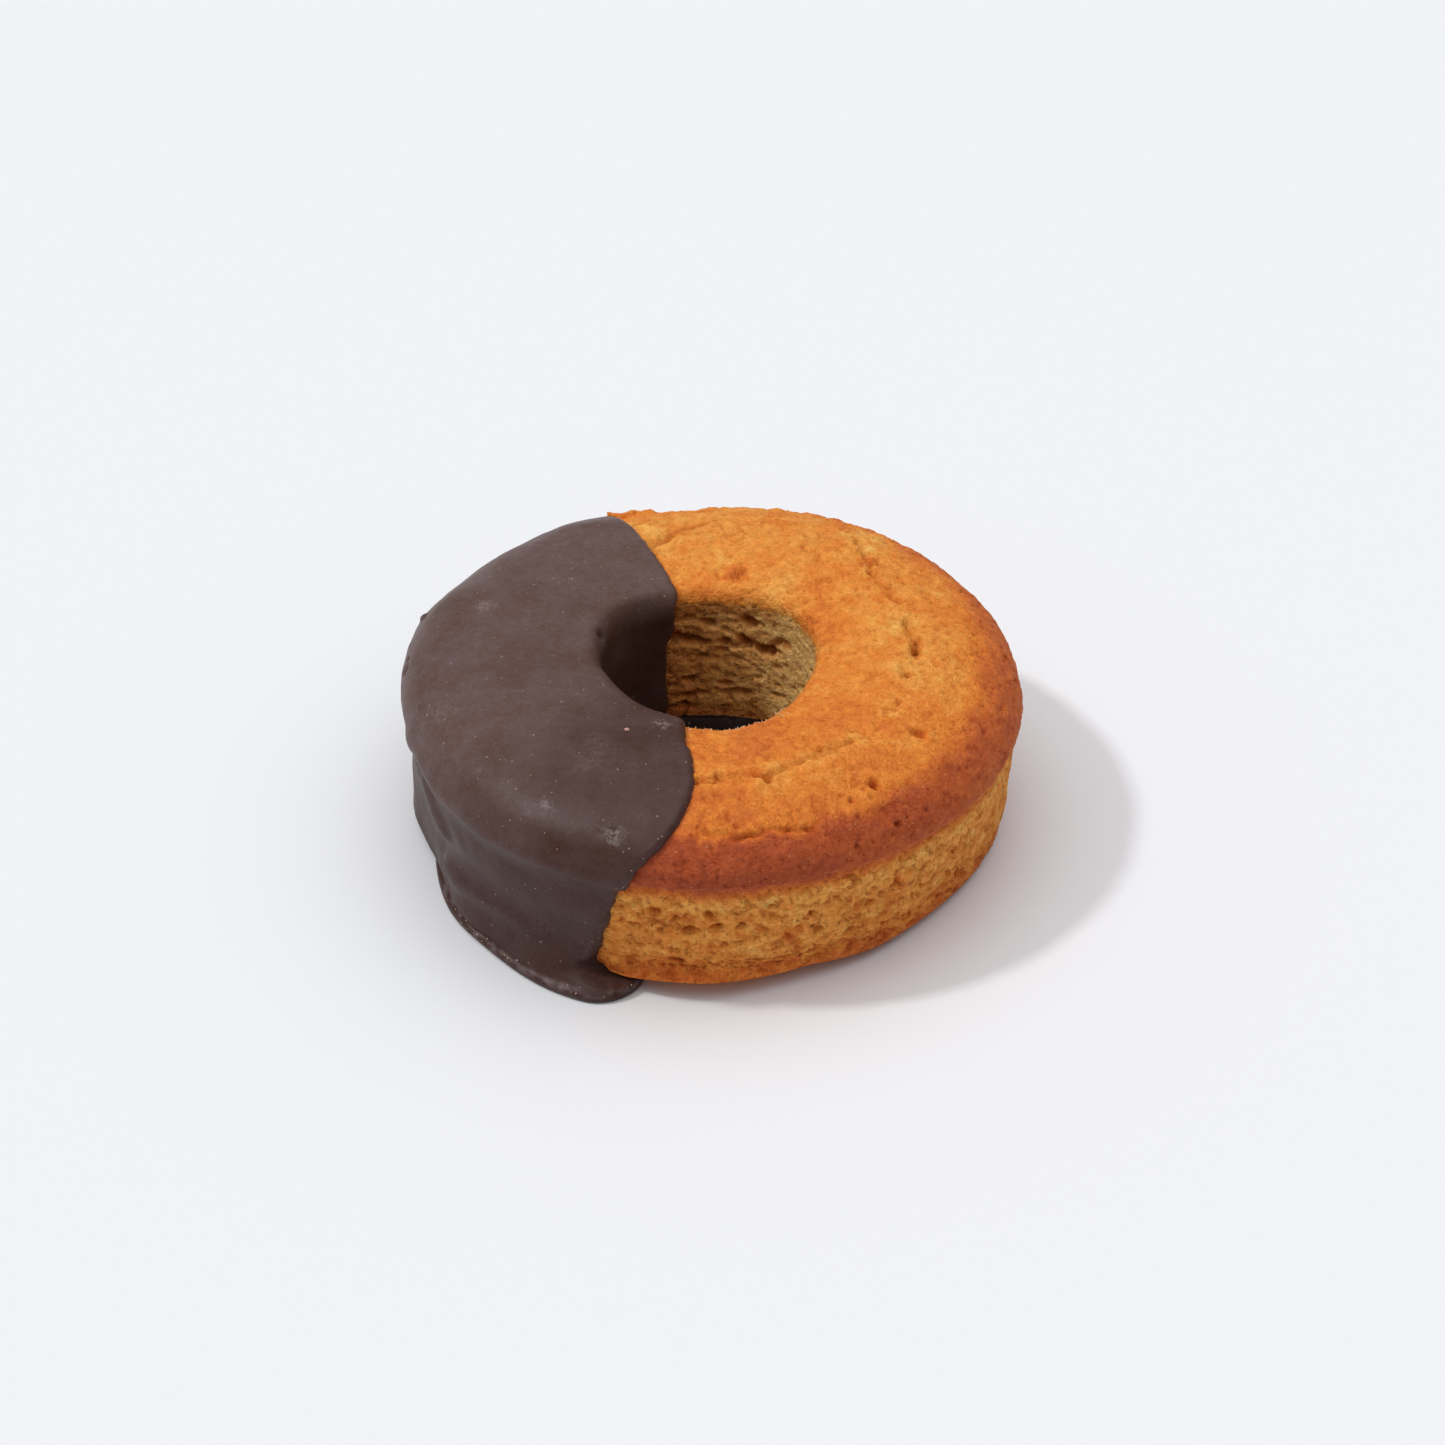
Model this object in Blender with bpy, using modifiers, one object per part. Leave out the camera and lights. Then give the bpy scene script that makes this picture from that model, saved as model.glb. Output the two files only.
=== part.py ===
"""A baked ring doughnut whose left side was dipped in dark chocolate and laid down to set.

Two solids: the cake ring, and the chocolate that wraps its left side, spreads into a thin foot
on the surface and closes the bottom of the hole. Sizes are in millimetres and azimuths in
degrees, anticlockwise from +X seen from above; the meshes are made in metres.
"""

import math

import bmesh
import bpy
import numpy as np

MM = 0.001
GAP = 0.3  # clearance between the chocolate and the cake

# The ring's section, before it is made uneven
HOLE_RADIUS = 14.4
LIP_ROUND = 2.2  # rounding where the top turns down into the hole
LIP_DROP = 0.9  # how far the hole's edge lies below the crown
CROWN_RADIUS = 24.5
CROWN_HEIGHT = 25.8
RIM_RADIUS = 39.45  # widest line of the browned crust
RIM_HEIGHT = 18.0
CRUST_EDGE_HEIGHT = 17.0  # the crust ends here in a small overhang
CRUST_OVERHANG = 0.6
WALL_TAPER = 1.3  # the side leans in by this much from the crust to the heel
HEEL_ROUND = 3.0
HOLE_HEEL_ROUND = 1.5
TILT = 1.0  # the dipped side lies on its chocolate, so the ring leans to the right

# Rows of the section and columns round the ring
HOLE_ROWS, LIP_ROWS, TOP_ROWS, DOME_ROWS = 9, 3, 4, 9
SIDE_ROWS, HEEL_ROWS, BASE_ROWS, HOLE_HEEL_ROWS = 6, 4, 4, 2
RING_STEPS = 90
COAT_STEPS = 34
POOL_STEPS = 48

# Slow waves of the outline: (waves round the ring, cosine part, sine part)
RIM_WAVES = ((1, 0.40, 0.0), (2, -0.55, 0.59), (3, 0.13, 0.26), (4, -0.05, -0.23))
HOLE_WAVES = ((1, -0.95, -0.85), (2, -0.28, -0.11), (3, -0.18, 0.90))
HEEL_WAVES = ((1, 0.35, 0.0), (3, 0.15, 0.2))
HEEL_TUCK = (-42.0, 25.0, 1.3)  # azimuth, spread and depth where the heel shrank back most
TOP_SWELLS = ((2, 0.12, 0.10), (3, -0.10, 0.08), (5, 0.07, -0.06))
SWELL_RADII = (15.0, 22.0)  # the top's swells grow between these radii
OUTER_RADIUS = 20.0  # from here out the ring follows the outline's waves
INNER_RADIUS = 28.0  # and from here in it follows the hole's waves
WALL_HEIGHTS = (13.0, 4.0)  # the rim's outline turns into the heel's between these heights
BARE_CENTRE = 2.0  # azimuth of the middle of the undipped side
BARE_REACH = (112.0, 102.0)  # degrees from there where the relief begins and is whole
DIPPED_SINK = 0.65  # the dipped side baked a little lower
BACK_RISE = (78.0, 38.0, 0.5)  # azimuth, spread and height of the part that rose most

# Marks in the crust: (azimuth, radius, length round the ring, width, depth)
CRACKS = (
    (-78.0, 28.3, 16.0, 1.3, 0.7),
    (-59.0, 27.0, 8.0, 1.1, 0.4),
    (-85.0, 36.6, 15.0, 1.2, 0.45),
    (-2.0, 25.7, 3.6, 2.0, 1.5),
    (-16.0, 25.5, 3.0, 1.6, 1.0),
    (-55.0, 32.9, 4.2, 1.8, 1.0),
    (40.0, 26.9, 3.0, 2.0, 0.9),
    (-76.0, 28.1, 2.6, 2.0, 1.2),
    (103.0, 24.0, 6.0, 1.5, 0.7),
    (105.0, 35.0, 4.0, 2.2, -0.8),  # crust curled up beside the chocolate
)
# Torn layers in the bare wall of the hole: (height, azimuth, half width in degrees, depth)
TEARS = (
    (18.6, 68.0, 42.0, 1.3),
    (13.4, 95.0, 30.0, 0.9),
    (15.2, 30.0, 24.0, 0.8),
    (9.8, 60.0, 40.0, 0.9),
    (21.4, 85.0, 30.0, 0.7),
    (11.6, -20.0, 45.0, 0.9),
    (17.6, -55.0, 35.0, 1.0),
)
TEAR_HEIGHT = 1.0

# The chocolate
COAT_TOP = 1.0  # distance of its surface from the cake, with the gap
COAT_HOLE = 1.15
COAT_RIM = 1.45  # over the rim on the left
COAT_SIDE = 1.1
COAT_SIDE_FOOT = 1.8  # it sagged and is thicker low on the left
COAT_FRONT_FADE = (252.0, 225.0)  # the extra thickness of rim and side grows between these azimuths
COAT_BACK_FADE = (112.0, 130.0)
COAT_ENDS = ((0.0, 0.35), (0.004, 0.8), (0.012, 1.0))  # share along the coat, share of thickness
COAT_MIDDLE = 0.035  # share where the even columns start
COAT_FOLDS = ((196.0, 4.0, 0.35), (186.0, 5.0, -0.30))  # azimuth under the rim, spread, rise
COAT_FOLD_SLANT = 1.1  # degrees that a fold moves round for each millimetre down
COAT_FOLD_START = 2.0  # the folds grow over this much above and below the crust's edge
COAT_DIPS = ((5, 0.10), (9, 0.06))  # waves round the ring and their height
FOOT_THICKNESS = 1.35
FILLET_HEIGHT = 2.6  # where the side turns out into the foot
FOOT_EDGE = ((0.55, FOOT_THICKNESS), (0.1, 1.0), (0.0, 0.5), (0.5, 0.0))  # inset and height
FOOT_RADIUS = 38.4
FOOT_TONGUE = (247.0, 24.0, 3.5)  # azimuth, spread and reach of the widest part
FOOT_BACK = (150.0, 20.0, 1.5)
FOOT_TIPS = ((248.0, 8.6, 5.7), (129.0, -12.5, 3.0))  # start of each turned-in end, length, fall
POOL_HEIGHT = 4.6
POOL_MENISCUS = 2.3
POOL_CURVE = 6  # power of the rise towards the wall
POOL_RINGS = (0.0, 0.4, 0.7, 0.88, 1.0)  # shares of the hole's radius
POOL_OVERLAP = 0.45  # how far the pool reaches into the chocolate on the hole's wall
POOL_FRONT = (258.0, 248.0)  # the wall's chocolate sets in between these azimuths
POOL_BACK = (112.0, 122.0)
POOL_LIFT = 0.2  # the pool stays this far above the surface

# The dip line: azimuth of the chocolate's edge at named places round the section
DIP_FRONT = (
    ("hole", 0.0, 252.0), ("hole", 1.0, 257.0), ("lip", 1.0, 259.5), ("top", 0.6, 262.0),
    ("top", 1.0, 264.2), ("dome", 0.2, 266.2), ("dome", 0.35, 265.4), ("dome", 0.5, 263.9),
    ("dome", 0.62, 261.8), ("dome", 0.8, 258.8), ("dome", 1.0, 256.4), ("side", 0.3, 252.8),
    ("side", 0.7, 250.5), ("side", 1.0, 249.0), ("heel", 0.4, 256.6), ("heel", 1.0, 256.6),
    ("base", 1.0, 254.0), ("hole heel", 1.0, 252.0),
)
DIP_BACK = (
    ("hole", 0.0, 118.0), ("hole", 0.75, 115.3), ("hole", 0.86, 111.5), ("lip", 0.5, 108.8),
    ("top", 0.2, 109.5), ("top", 1.0, 111.0), ("dome", 0.6, 112.0), ("dome", 1.0, 115.0),
    ("side", 1.0, 119.0), ("heel", 1.0, 117.0), ("base", 1.0, 117.0), ("hole heel", 1.0, 118.0),
)


def smooth_step(low, high, value):
    """0 below low, 1 above high and a smooth rise between them; low may be the larger."""
    share = np.clip((value - low) / (high - low), 0.0, 1.0)
    return share * share * (3.0 - 2.0 * share)


def bell(distance, width):
    return np.exp(-((distance / width) ** 2))


def turn(azimuth, centre):
    """Signed angle in degrees from centre to azimuth, between -180 and 180."""
    return (azimuth - centre + 180.0) % 360.0 - 180.0


def waves(azimuth, terms):
    angle = np.radians(azimuth)
    return sum(c * np.cos(n * angle) + s * np.sin(n * angle) for n, c, s in terms)


def arc(count, first=0.0, last=90.0):
    """Angles in radians for the rows of an arc, its start left out."""
    return np.radians(np.linspace(first, last, count + 1)[1:])


def section():
    """The ring's section as rows (zone, share of the zone, radius, height), in the order:
    up the hole's wall, out over the top, down the side and back along the base."""
    rows = []

    def add(zone, radii, heights):
        for index, (radius, height) in enumerate(zip(radii, heights)):
            rows.append((zone, (index + 1) / len(radii), float(radius), float(height)))

    lip_height = CROWN_HEIGHT - LIP_DROP
    lip_outer = HOLE_RADIUS + LIP_ROUND
    wall = np.linspace(HOLE_HEEL_ROUND, lip_height - LIP_ROUND, HOLE_ROWS)
    add("hole", np.full(HOLE_ROWS, HOLE_RADIUS), wall)
    a = arc(LIP_ROWS)
    add("lip", lip_outer - LIP_ROUND * np.cos(a), lip_height - LIP_ROUND * (1 - np.sin(a)))
    share = np.linspace(1.0, 0.0, TOP_ROWS + 1)[1:]
    add("top", CROWN_RADIUS - (CROWN_RADIUS - lip_outer) * share,
        CROWN_HEIGHT - LIP_DROP * share ** 2)
    a = arc(DOME_ROWS)
    add("dome", CROWN_RADIUS + (RIM_RADIUS - CROWN_RADIUS) * np.sin(a),
        RIM_HEIGHT + (CROWN_HEIGHT - RIM_HEIGHT) * np.cos(a) ** 0.9)
    top_of_wall = RIM_RADIUS - CRUST_OVERHANG
    heights = np.linspace(CRUST_EDGE_HEIGHT, HEEL_ROUND, SIDE_ROWS)
    lean = (CRUST_EDGE_HEIGHT - heights) / (CRUST_EDGE_HEIGHT - HEEL_ROUND)
    add("side", top_of_wall - WALL_TAPER * lean ** 1.3, heights)
    heel_outer = top_of_wall - WALL_TAPER
    a = arc(HEEL_ROWS)
    add("heel", heel_outer - HEEL_ROUND * (1 - np.cos(a)), HEEL_ROUND * (1 - np.sin(a)))
    inner = HOLE_RADIUS + HOLE_HEEL_ROUND
    radii = np.linspace(heel_outer - HEEL_ROUND, inner, BASE_ROWS + 1)[1:]
    add("base", radii, np.zeros(BASE_ROWS))
    a = arc(HOLE_HEEL_ROWS + 1)[:-1]
    add("hole heel", inner - HOLE_HEEL_ROUND * np.sin(a), HOLE_HEEL_ROUND * (1 - np.cos(a)))
    return rows


def bareness(azimuth):
    """1 on the undipped side and 0 under the chocolate, so that the torn layers end under it."""
    return smooth_step(*BARE_REACH, np.abs(turn(azimuth, BARE_CENTRE)))


def crust_relief(azimuth, radius):
    """Height of the top's unevenness: slow swells all round, cracks and pits where it is bare."""
    relief = waves(azimuth, TOP_SWELLS) * smooth_step(*SWELL_RADII, radius)
    centre, spread, rise = BACK_RISE
    relief = relief + rise * bell(turn(azimuth, centre), spread)
    for centre, ring, length, width, depth in CRACKS:
        along = np.radians(turn(azimuth, centre)) * ring
        half = np.radians(length / 2) * ring
        beyond = np.maximum(np.abs(along) - half, 0.0)
        relief = relief - depth * bell(radius - ring, width) * bell(beyond, width)
    return relief


def tear_depth(azimuth, height):
    """How deep the torn crumb is cut back in the hole's bare wall."""
    depth = 0.0
    for level, centre, reach, cut in TEARS:
        wander = 0.8 * np.sin(np.radians(turn(azimuth, centre)) * 3.0 + level)
        along = smooth_step(reach, reach * 0.5, np.abs(turn(azimuth, centre)))
        depth = depth + cut * along * bell(height - level - wander, TEAR_HEIGHT)
    return depth


def lift(x):
    """Rise of the leaning ring above the surface, from the heel that it rests on."""
    resting_edge = RIM_RADIUS - CRUST_OVERHANG - WALL_TAPER - HEEL_ROUND + HEEL_WAVES[0][1]
    return (resting_edge - x) * math.tan(math.radians(TILT))


def ring_point(azimuth, radius, height, out=0.0, normal=(0.0, 0.0), relief=True):
    """Place of a section point on the uneven, leaning ring, moved out along its normal."""
    azimuth = np.asarray(azimuth, float)
    low = smooth_step(*WALL_HEIGHTS, height)
    outer = smooth_step(OUTER_RADIUS, RIM_RADIUS, radius)
    inner = smooth_step(INNER_RADIUS, HOLE_RADIUS, radius)
    centre, spread, depth = HEEL_TUCK
    heel = waves(azimuth, HEEL_WAVES) - depth * bell(turn(azimuth, centre), spread)
    r = radius + outer * ((1 - low) * waves(azimuth, RIM_WAVES) + low * heel)
    r = r + inner * waves(azimuth, HOLE_WAVES)
    top = smooth_step(RIM_HEIGHT - 1.0, RIM_HEIGHT + 3.0, height)
    sunk = DIPPED_SINK * smooth_step(0.0, -0.9, np.cos(np.radians(azimuth)))
    z = height + top * (crust_relief(azimuth, radius) * (1.0 if relief else 0.0) - sunk)
    if relief:
        in_hole = smooth_step(HOLE_RADIUS + 1.2, HOLE_RADIUS, radius)
        in_hole = in_hole * smooth_step(HOLE_HEEL_ROUND + 5.5, HOLE_HEEL_ROUND + 7.0, height)
        r = r + in_hole * bareness(azimuth) * tear_depth(azimuth, height)
    r = r + out * normal[0]
    z = z + out * normal[1]
    x, y = r * np.cos(np.radians(azimuth)), r * np.sin(np.radians(azimuth))
    return np.stack([x, y, z + lift(x)], axis=-1)


def section_normals(rows):
    """Outward normals of the closed section, from each row's two neighbours."""
    points = np.array([(radius, height) for _, _, radius, height in rows])
    along = np.roll(points, -1, axis=0) - np.roll(points, 1, axis=0)
    normals = np.stack([-along[:, 1], along[:, 0]], axis=1)
    return normals / np.linalg.norm(normals, axis=1)[:, None]


def material(name, colour, roughness):
    made = bpy.data.materials.new(name)
    made.use_nodes = True
    shader = made.node_tree.nodes["Principled BSDF"]
    shader.inputs["Base Color"].default_value = (*colour, 1.0)
    shader.inputs["Roughness"].default_value = roughness
    shader.inputs["Metallic"].default_value = 0.0
    made.diffuse_color = (*colour, 1.0)
    return made


def link(name, mesh, collection):
    obj = bpy.data.objects.new(name, mesh)
    collection.objects.link(obj)
    return obj


def screwed(name, profile, closed, steps, collection):
    """A mesh turned about Z from (radius, height) points in millimetres."""
    mesh = bpy.data.meshes.new(name + "_profile")
    points = [(radius * MM, 0.0, height * MM) for radius, height in profile]
    edges = [(i, i + 1) for i in range(len(points) - 1)]
    if closed:
        edges.append((len(points) - 1, 0))
    mesh.from_pydata(points, edges, [])
    guide = link(name + "_guide", mesh, collection)
    screw = guide.modifiers.new("turn", "SCREW")
    screw.angle = math.tau
    screw.steps = screw.render_steps = steps
    screw.use_merge_vertices = True
    screw.merge_threshold = 0.0001
    bpy.context.view_layer.update()
    graph = bpy.context.evaluated_depsgraph_get()
    turned = bpy.data.meshes.new_from_object(guide.evaluated_get(graph))
    turned.name = name
    bpy.data.objects.remove(guide)
    bpy.data.meshes.remove(mesh)
    return turned


def reshape(mesh, place):
    """Moves each vertex to place(azimuth, radius, height), all in millimetres and degrees."""
    points = np.empty(len(mesh.vertices) * 3)
    mesh.vertices.foreach_get("co", points)
    x, y, z = points.reshape(-1, 3).T / MM
    moved = place(np.degrees(np.arctan2(y, x)), np.hypot(x, y), z)
    mesh.vertices.foreach_set("co", (moved * MM).ravel())
    mesh.update()


def shade(obj, degrees):
    obj.data.shade_smooth()
    obj.data.set_sharp_from_angle(angle=math.radians(degrees))


def make_cake(rows, collection):
    profile = [(radius, height) for _, _, radius, height in rows]
    mesh = screwed("cake", profile, True, RING_STEPS, collection)
    reshape(mesh, ring_point)
    cake = link("cake", mesh, collection)
    cake.data.materials.append(material("baked_cake", (0.62, 0.25, 0.055), 0.85))
    shade(cake, 60)
    return cake


def dip_azimuth(row, table):
    """The chocolate's edge at a row of the section, between the named places of the table."""
    zones = ("hole", "lip", "top", "dome", "side", "heel", "base", "hole heel")
    places = [zones.index(zone) + share for zone, share, _ in table]
    azimuths = [azimuth for _, _, azimuth in table]
    return float(np.interp(zones.index(row[0]) + row[1], places, azimuths))


def foot_radius(azimuth):
    """Outline of the chocolate's foot on the surface."""
    reach = FOOT_RADIUS
    for centre, spread, width in (FOOT_TONGUE, FOOT_BACK):
        reach = reach + width * bell(turn(azimuth, centre), spread)
    for start, length, fall in FOOT_TIPS:
        share = np.clip((azimuth - start) / length, 0.0, 1.0)
        reach = reach - fall * (1.0 - np.sqrt(1.0 - share ** 2))
    return reach


def coat_swells(azimuth, height):
    """Slow unevenness of the chocolate: soft folds down the left side and dips on top."""
    below = CRUST_EDGE_HEIGHT - height
    side = sum(rise * bell(turn(azimuth, start + COAT_FOLD_SLANT * below), spread)
               for start, spread, rise in COAT_FOLDS)
    dips = sum(rise * np.sin(np.radians(azimuth * count)) for count, rise in COAT_DIPS)
    return side * smooth_step(-COAT_FOLD_START, COAT_FOLD_START, below) + dips


def coat_thickness(zone, azimuth, height):
    if zone in ("hole", "lip", "hole heel"):
        return COAT_HOLE + 0.5 * coat_swells(azimuth, CROWN_HEIGHT)
    left = smooth_step(*COAT_FRONT_FADE, azimuth) * smooth_step(*COAT_BACK_FADE, azimuth)
    if zone in ("top", "dome"):
        rim = (COAT_RIM - COAT_TOP) * smooth_step(CROWN_HEIGHT, RIM_HEIGHT, height) * left
        return COAT_TOP + rim + coat_swells(azimuth, height)
    sag = (COAT_SIDE_FOOT - COAT_SIDE) * smooth_step(CRUST_EDGE_HEIGHT, HEEL_ROUND, height) * left
    return COAT_SIDE + sag + coat_swells(azimuth, height)


def coat_outer(row, azimuth, normal, taper):
    """Outer surface of the chocolate at a row of the section; taper thins it at the dip line."""
    zone, share, radius, height = row
    thick = GAP + (coat_thickness(zone, azimuth, height) - GAP) * taper
    point = ring_point(azimuth, radius, height, thick, normal, relief=False)
    direction = np.array([math.cos(math.radians(azimuth)), math.sin(math.radians(azimuth))])
    reach = float(foot_radius(azimuth))
    wall = float(np.hypot(point[0], point[1]))
    if zone == "side" and share > 0.9:
        return np.array([*(direction * (wall + 0.5 * taper * max(reach - wall, 0.0))), FILLET_HEIGHT])
    if zone == "heel":
        step = round(share * HEEL_ROWS)
        inset, level = FOOT_EDGE[step - 1]
        return np.array([*(direction * (reach - inset)), level])
    if zone in ("base", "hole heel"):
        inner = radius if zone == "base" else HOLE_RADIUS
        flat = ring_point(azimuth, inner, height, relief=False)
        along = np.hypot(flat[0], flat[1])
        if zone == "hole heel":
            along = along - COAT_HOLE * share
        return np.array([*(direction * along), 0.0])
    return point


def loft(name, outer, inner):
    """A closed sleeve between two grids of points (rows round the section, columns along it)."""
    rows, columns = outer.shape[:2]
    mesh = bpy.data.meshes.new(name)
    shape = bmesh.new()
    made = [[[shape.verts.new(grid[i, j] * MM) for j in range(columns)] for i in range(rows)]
            for grid in (outer, inner)]
    for i in range(rows):
        after = (i + 1) % rows
        for j in range(columns - 1):
            a, b = made[0][i], made[0][after]
            shape.faces.new((a[j], a[j + 1], b[j + 1], b[j]))
            a, b = made[1][i], made[1][after]
            shape.faces.new((a[j], b[j], b[j + 1], a[j + 1]))
        first, last = 0, columns - 1
        shape.faces.new((made[0][i][first], made[0][after][first],
                         made[1][after][first], made[1][i][first]))
        shape.faces.new((made[0][i][last], made[1][i][last],
                         made[1][after][last], made[0][after][last]))
    bmesh.ops.recalc_face_normals(shape, faces=shape.faces)
    if shape.calc_volume(signed=True) < 0:
        bmesh.ops.reverse_faces(shape, faces=shape.faces)
    shape.to_mesh(mesh)
    shape.free()
    return mesh


def coat_columns():
    """Shares along the coat from its front edge to its back edge, with rounded ends."""
    ends, tapers = np.array(COAT_ENDS).T
    middle = np.linspace(COAT_MIDDLE, 1.0 - COAT_MIDDLE, COAT_STEPS + 1 - 2 * len(ends))
    shares = np.concatenate([ends, middle, 1.0 - ends[::-1]])
    return shares, np.concatenate([tapers, np.ones(len(middle)), tapers[::-1]])


def make_coat_mesh(rows):
    normals = section_normals(rows)
    shares, tapers = coat_columns()
    outer = np.empty((len(rows), len(shares), 3))
    inner = np.empty_like(outer)
    for i, row in enumerate(rows):
        front, back = dip_azimuth(row, DIP_FRONT), dip_azimuth(row, DIP_BACK)
        for j, (share, taper) in enumerate(zip(shares, tapers)):
            azimuth = front + (back - front) * share
            inner[i, j] = ring_point(azimuth, row[2], row[3], GAP, normals[i], relief=False)
            outer[i, j] = coat_outer(row, azimuth, normals[i], taper)
    return loft("chocolate", outer, inner)


def pool_point(azimuth, radius, height):
    """Shapes a flat disc into the pool: out to the hole's wall, its top drawn up at the edge."""
    azimuth = azimuth % 360.0
    wall = ring_point(azimuth, HOLE_RADIUS, POOL_HEIGHT, relief=False)
    reach = np.hypot(wall[..., 0], wall[..., 1])
    under_coat = smooth_step(*POOL_BACK, azimuth) * smooth_step(*POOL_FRONT, azimuth)
    edge = reach - GAP - under_coat * (COAT_HOLE - GAP - POOL_OVERLAP)
    r = radius / HOLE_RADIUS * edge
    top = POOL_HEIGHT + POOL_MENISCUS * (radius / HOLE_RADIUS) ** POOL_CURVE
    z = np.where(height > POOL_LIFT, top, POOL_LIFT)
    x, y = r * np.cos(np.radians(azimuth)), r * np.sin(np.radians(azimuth))
    return np.stack([x, y, z], axis=-1)


def make_pool(collection):
    rings = HOLE_RADIUS * np.array(POOL_RINGS)
    profile = [(radius, POOL_HEIGHT) for radius in rings] + [(radius, 0.0) for radius in rings[::-2]]
    mesh = screwed("pool", profile, False, POOL_STEPS, collection)
    reshape(mesh, pool_point)
    pool = link("pool", mesh, collection)
    pool.hide_render = True
    pool.display_type = "WIRE"
    return pool


def make_chocolate(rows, collection, helpers):
    chocolate = link("chocolate", make_coat_mesh(rows), collection)
    union = chocolate.modifiers.new("pool", "BOOLEAN")
    union.operation = "UNION"
    union.solver = "EXACT"
    union.object = make_pool(helpers)
    chocolate.data.materials.append(material("dark_chocolate", (0.085, 0.045, 0.035), 0.4))
    shade(chocolate, 60)
    return chocolate


def main():
    for obj in list(bpy.data.objects):
        bpy.data.objects.remove(obj)
    parts = bpy.data.collections.new("chocolate_doughnut")
    helpers = bpy.data.collections.new("helpers")
    for collection in (parts, helpers):
        bpy.context.scene.collection.children.link(collection)
    helpers.hide_render = True
    rows = section()
    make_cake(rows, parts)
    make_chocolate(rows, parts, helpers)


main()
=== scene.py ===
# %% [markdown]
# # A half-dipped chocolate doughnut
# The real thing is a small baked ring of cake. Its left side was dipped in dark chocolate and
# laid down on a flat surface, so the chocolate set with a thin foot round it. Two plain solids
# already give the sizes: the cake and the chocolate. This lesson makes the surfaces that the
# eye sees: browned crust, torn crumb, satin chocolate and loose crumbs, with light and camera.
# The plain solids are loaded first, because everything after them has to keep their form.

# %% Load the plain solids
import math

import bpy
import numpy as np
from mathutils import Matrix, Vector


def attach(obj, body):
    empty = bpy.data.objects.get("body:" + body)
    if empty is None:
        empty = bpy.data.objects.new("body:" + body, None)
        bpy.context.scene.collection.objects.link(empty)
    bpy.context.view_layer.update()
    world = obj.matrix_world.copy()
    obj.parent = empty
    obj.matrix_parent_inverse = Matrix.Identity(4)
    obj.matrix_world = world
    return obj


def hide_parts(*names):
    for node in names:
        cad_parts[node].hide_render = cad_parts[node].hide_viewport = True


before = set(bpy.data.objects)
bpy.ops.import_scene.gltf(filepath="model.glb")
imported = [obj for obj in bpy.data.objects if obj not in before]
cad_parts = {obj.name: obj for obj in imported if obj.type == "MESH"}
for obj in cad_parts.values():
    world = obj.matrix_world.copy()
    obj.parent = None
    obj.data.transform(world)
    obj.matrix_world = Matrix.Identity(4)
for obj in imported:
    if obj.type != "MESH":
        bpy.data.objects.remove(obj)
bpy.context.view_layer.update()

# %% [markdown]
# ## Camera
# The photograph looks down at the ring from the front, at about 35 degrees. A camera can be
# placed by eye, or by an "aim" constraint. Here its place is worked out from the elevation,
# the distance and how many pixels one millimetre takes, so the picture has the same framing
# as the photograph and can be compared with it line by line.

# %% Camera
MM = 0.001  # lengths below are in millimetres, and Blender's unit is the metre
PHOTO_PIXELS = 1445
PIXELS_PER_MM = 7.639
CAMERA_ELEVATION = 35.2
CAMERA_DISTANCE = 400.0
AIM_RIGHT, AIM_UP = 1.27, 11.38  # the picture's middle, seen from the ring's origin
SENSOR_WIDTH = 36.0


def add_object(name, data):
    """Puts an object with this data into the scene."""
    made = bpy.data.objects.new(name, data)
    bpy.context.scene.collection.objects.link(made)
    return made


camera_data = bpy.data.cameras.new("camera")
camera_data.sensor_width = SENSOR_WIDTH
camera_data.lens = SENSOR_WIDTH * PIXELS_PER_MM * CAMERA_DISTANCE / PHOTO_PIXELS
camera_data.clip_start = 0.01
camera = add_object("camera", camera_data)
elevation = math.radians(CAMERA_ELEVATION)
view_up = Vector((0.0, math.sin(elevation), math.cos(elevation)))
view_forward = Vector((0.0, math.cos(elevation), -math.sin(elevation)))
aim = Vector((AIM_RIGHT, 0.0, 0.0)) + view_up * AIM_UP
camera.location = (aim - view_forward * CAMERA_DISTANCE) * MM
camera.rotation_euler = (math.pi / 2 - elevation, 0.0, 0.0)
bpy.context.scene.camera = camera
print("camera at", [round(value, 4) for value in camera.location], "lens", round(camera_data.lens, 1))

# %% [markdown]
# ## Node helpers
# Sky and materials are made of nodes: small boxes whose results feed other boxes. They can be
# drawn by hand in the shader editor. Here each helper adds one box and hands back its result,
# so that a material further down reads like a recipe.

# %% Node helpers
def plug(tree, socket, value):
    """Sets a socket from a number or a colour, or links it from another socket."""
    if isinstance(value, bpy.types.NodeSocket):
        tree.links.new(value, socket)
    else:
        socket.default_value = value


def add_node(tree, kind, inputs=None, **settings):
    """Adds a node with its settings, then fills its inputs by name or by number."""
    made = tree.nodes.new(kind)
    for name, value in settings.items():
        setattr(made, name, value)
    for name, value in (inputs or {}).items():
        plug(tree, made.inputs[name], value)
    return made


def calculate(tree, operation, *values, clamp=False):
    """One Math node's result."""
    return add_node(tree, "ShaderNodeMath", dict(enumerate(values)), operation=operation,
                    use_clamp=clamp).outputs[0]


def times(tree, product, *factors):
    for factor in factors:
        product = calculate(tree, "MULTIPLY", product, factor)
    return product


def plain_material(name, colour, roughness):
    """A material with one Principled shader, that shader and the material's tree."""
    made = bpy.data.materials.new(name)
    made.use_nodes = True
    shader = made.node_tree.nodes["Principled BSDF"]
    shader.inputs["Base Color"].default_value = (*colour, 1.0)
    shader.inputs["Roughness"].default_value = roughness
    return made, shader, made.node_tree


print("node helpers ready")

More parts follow.
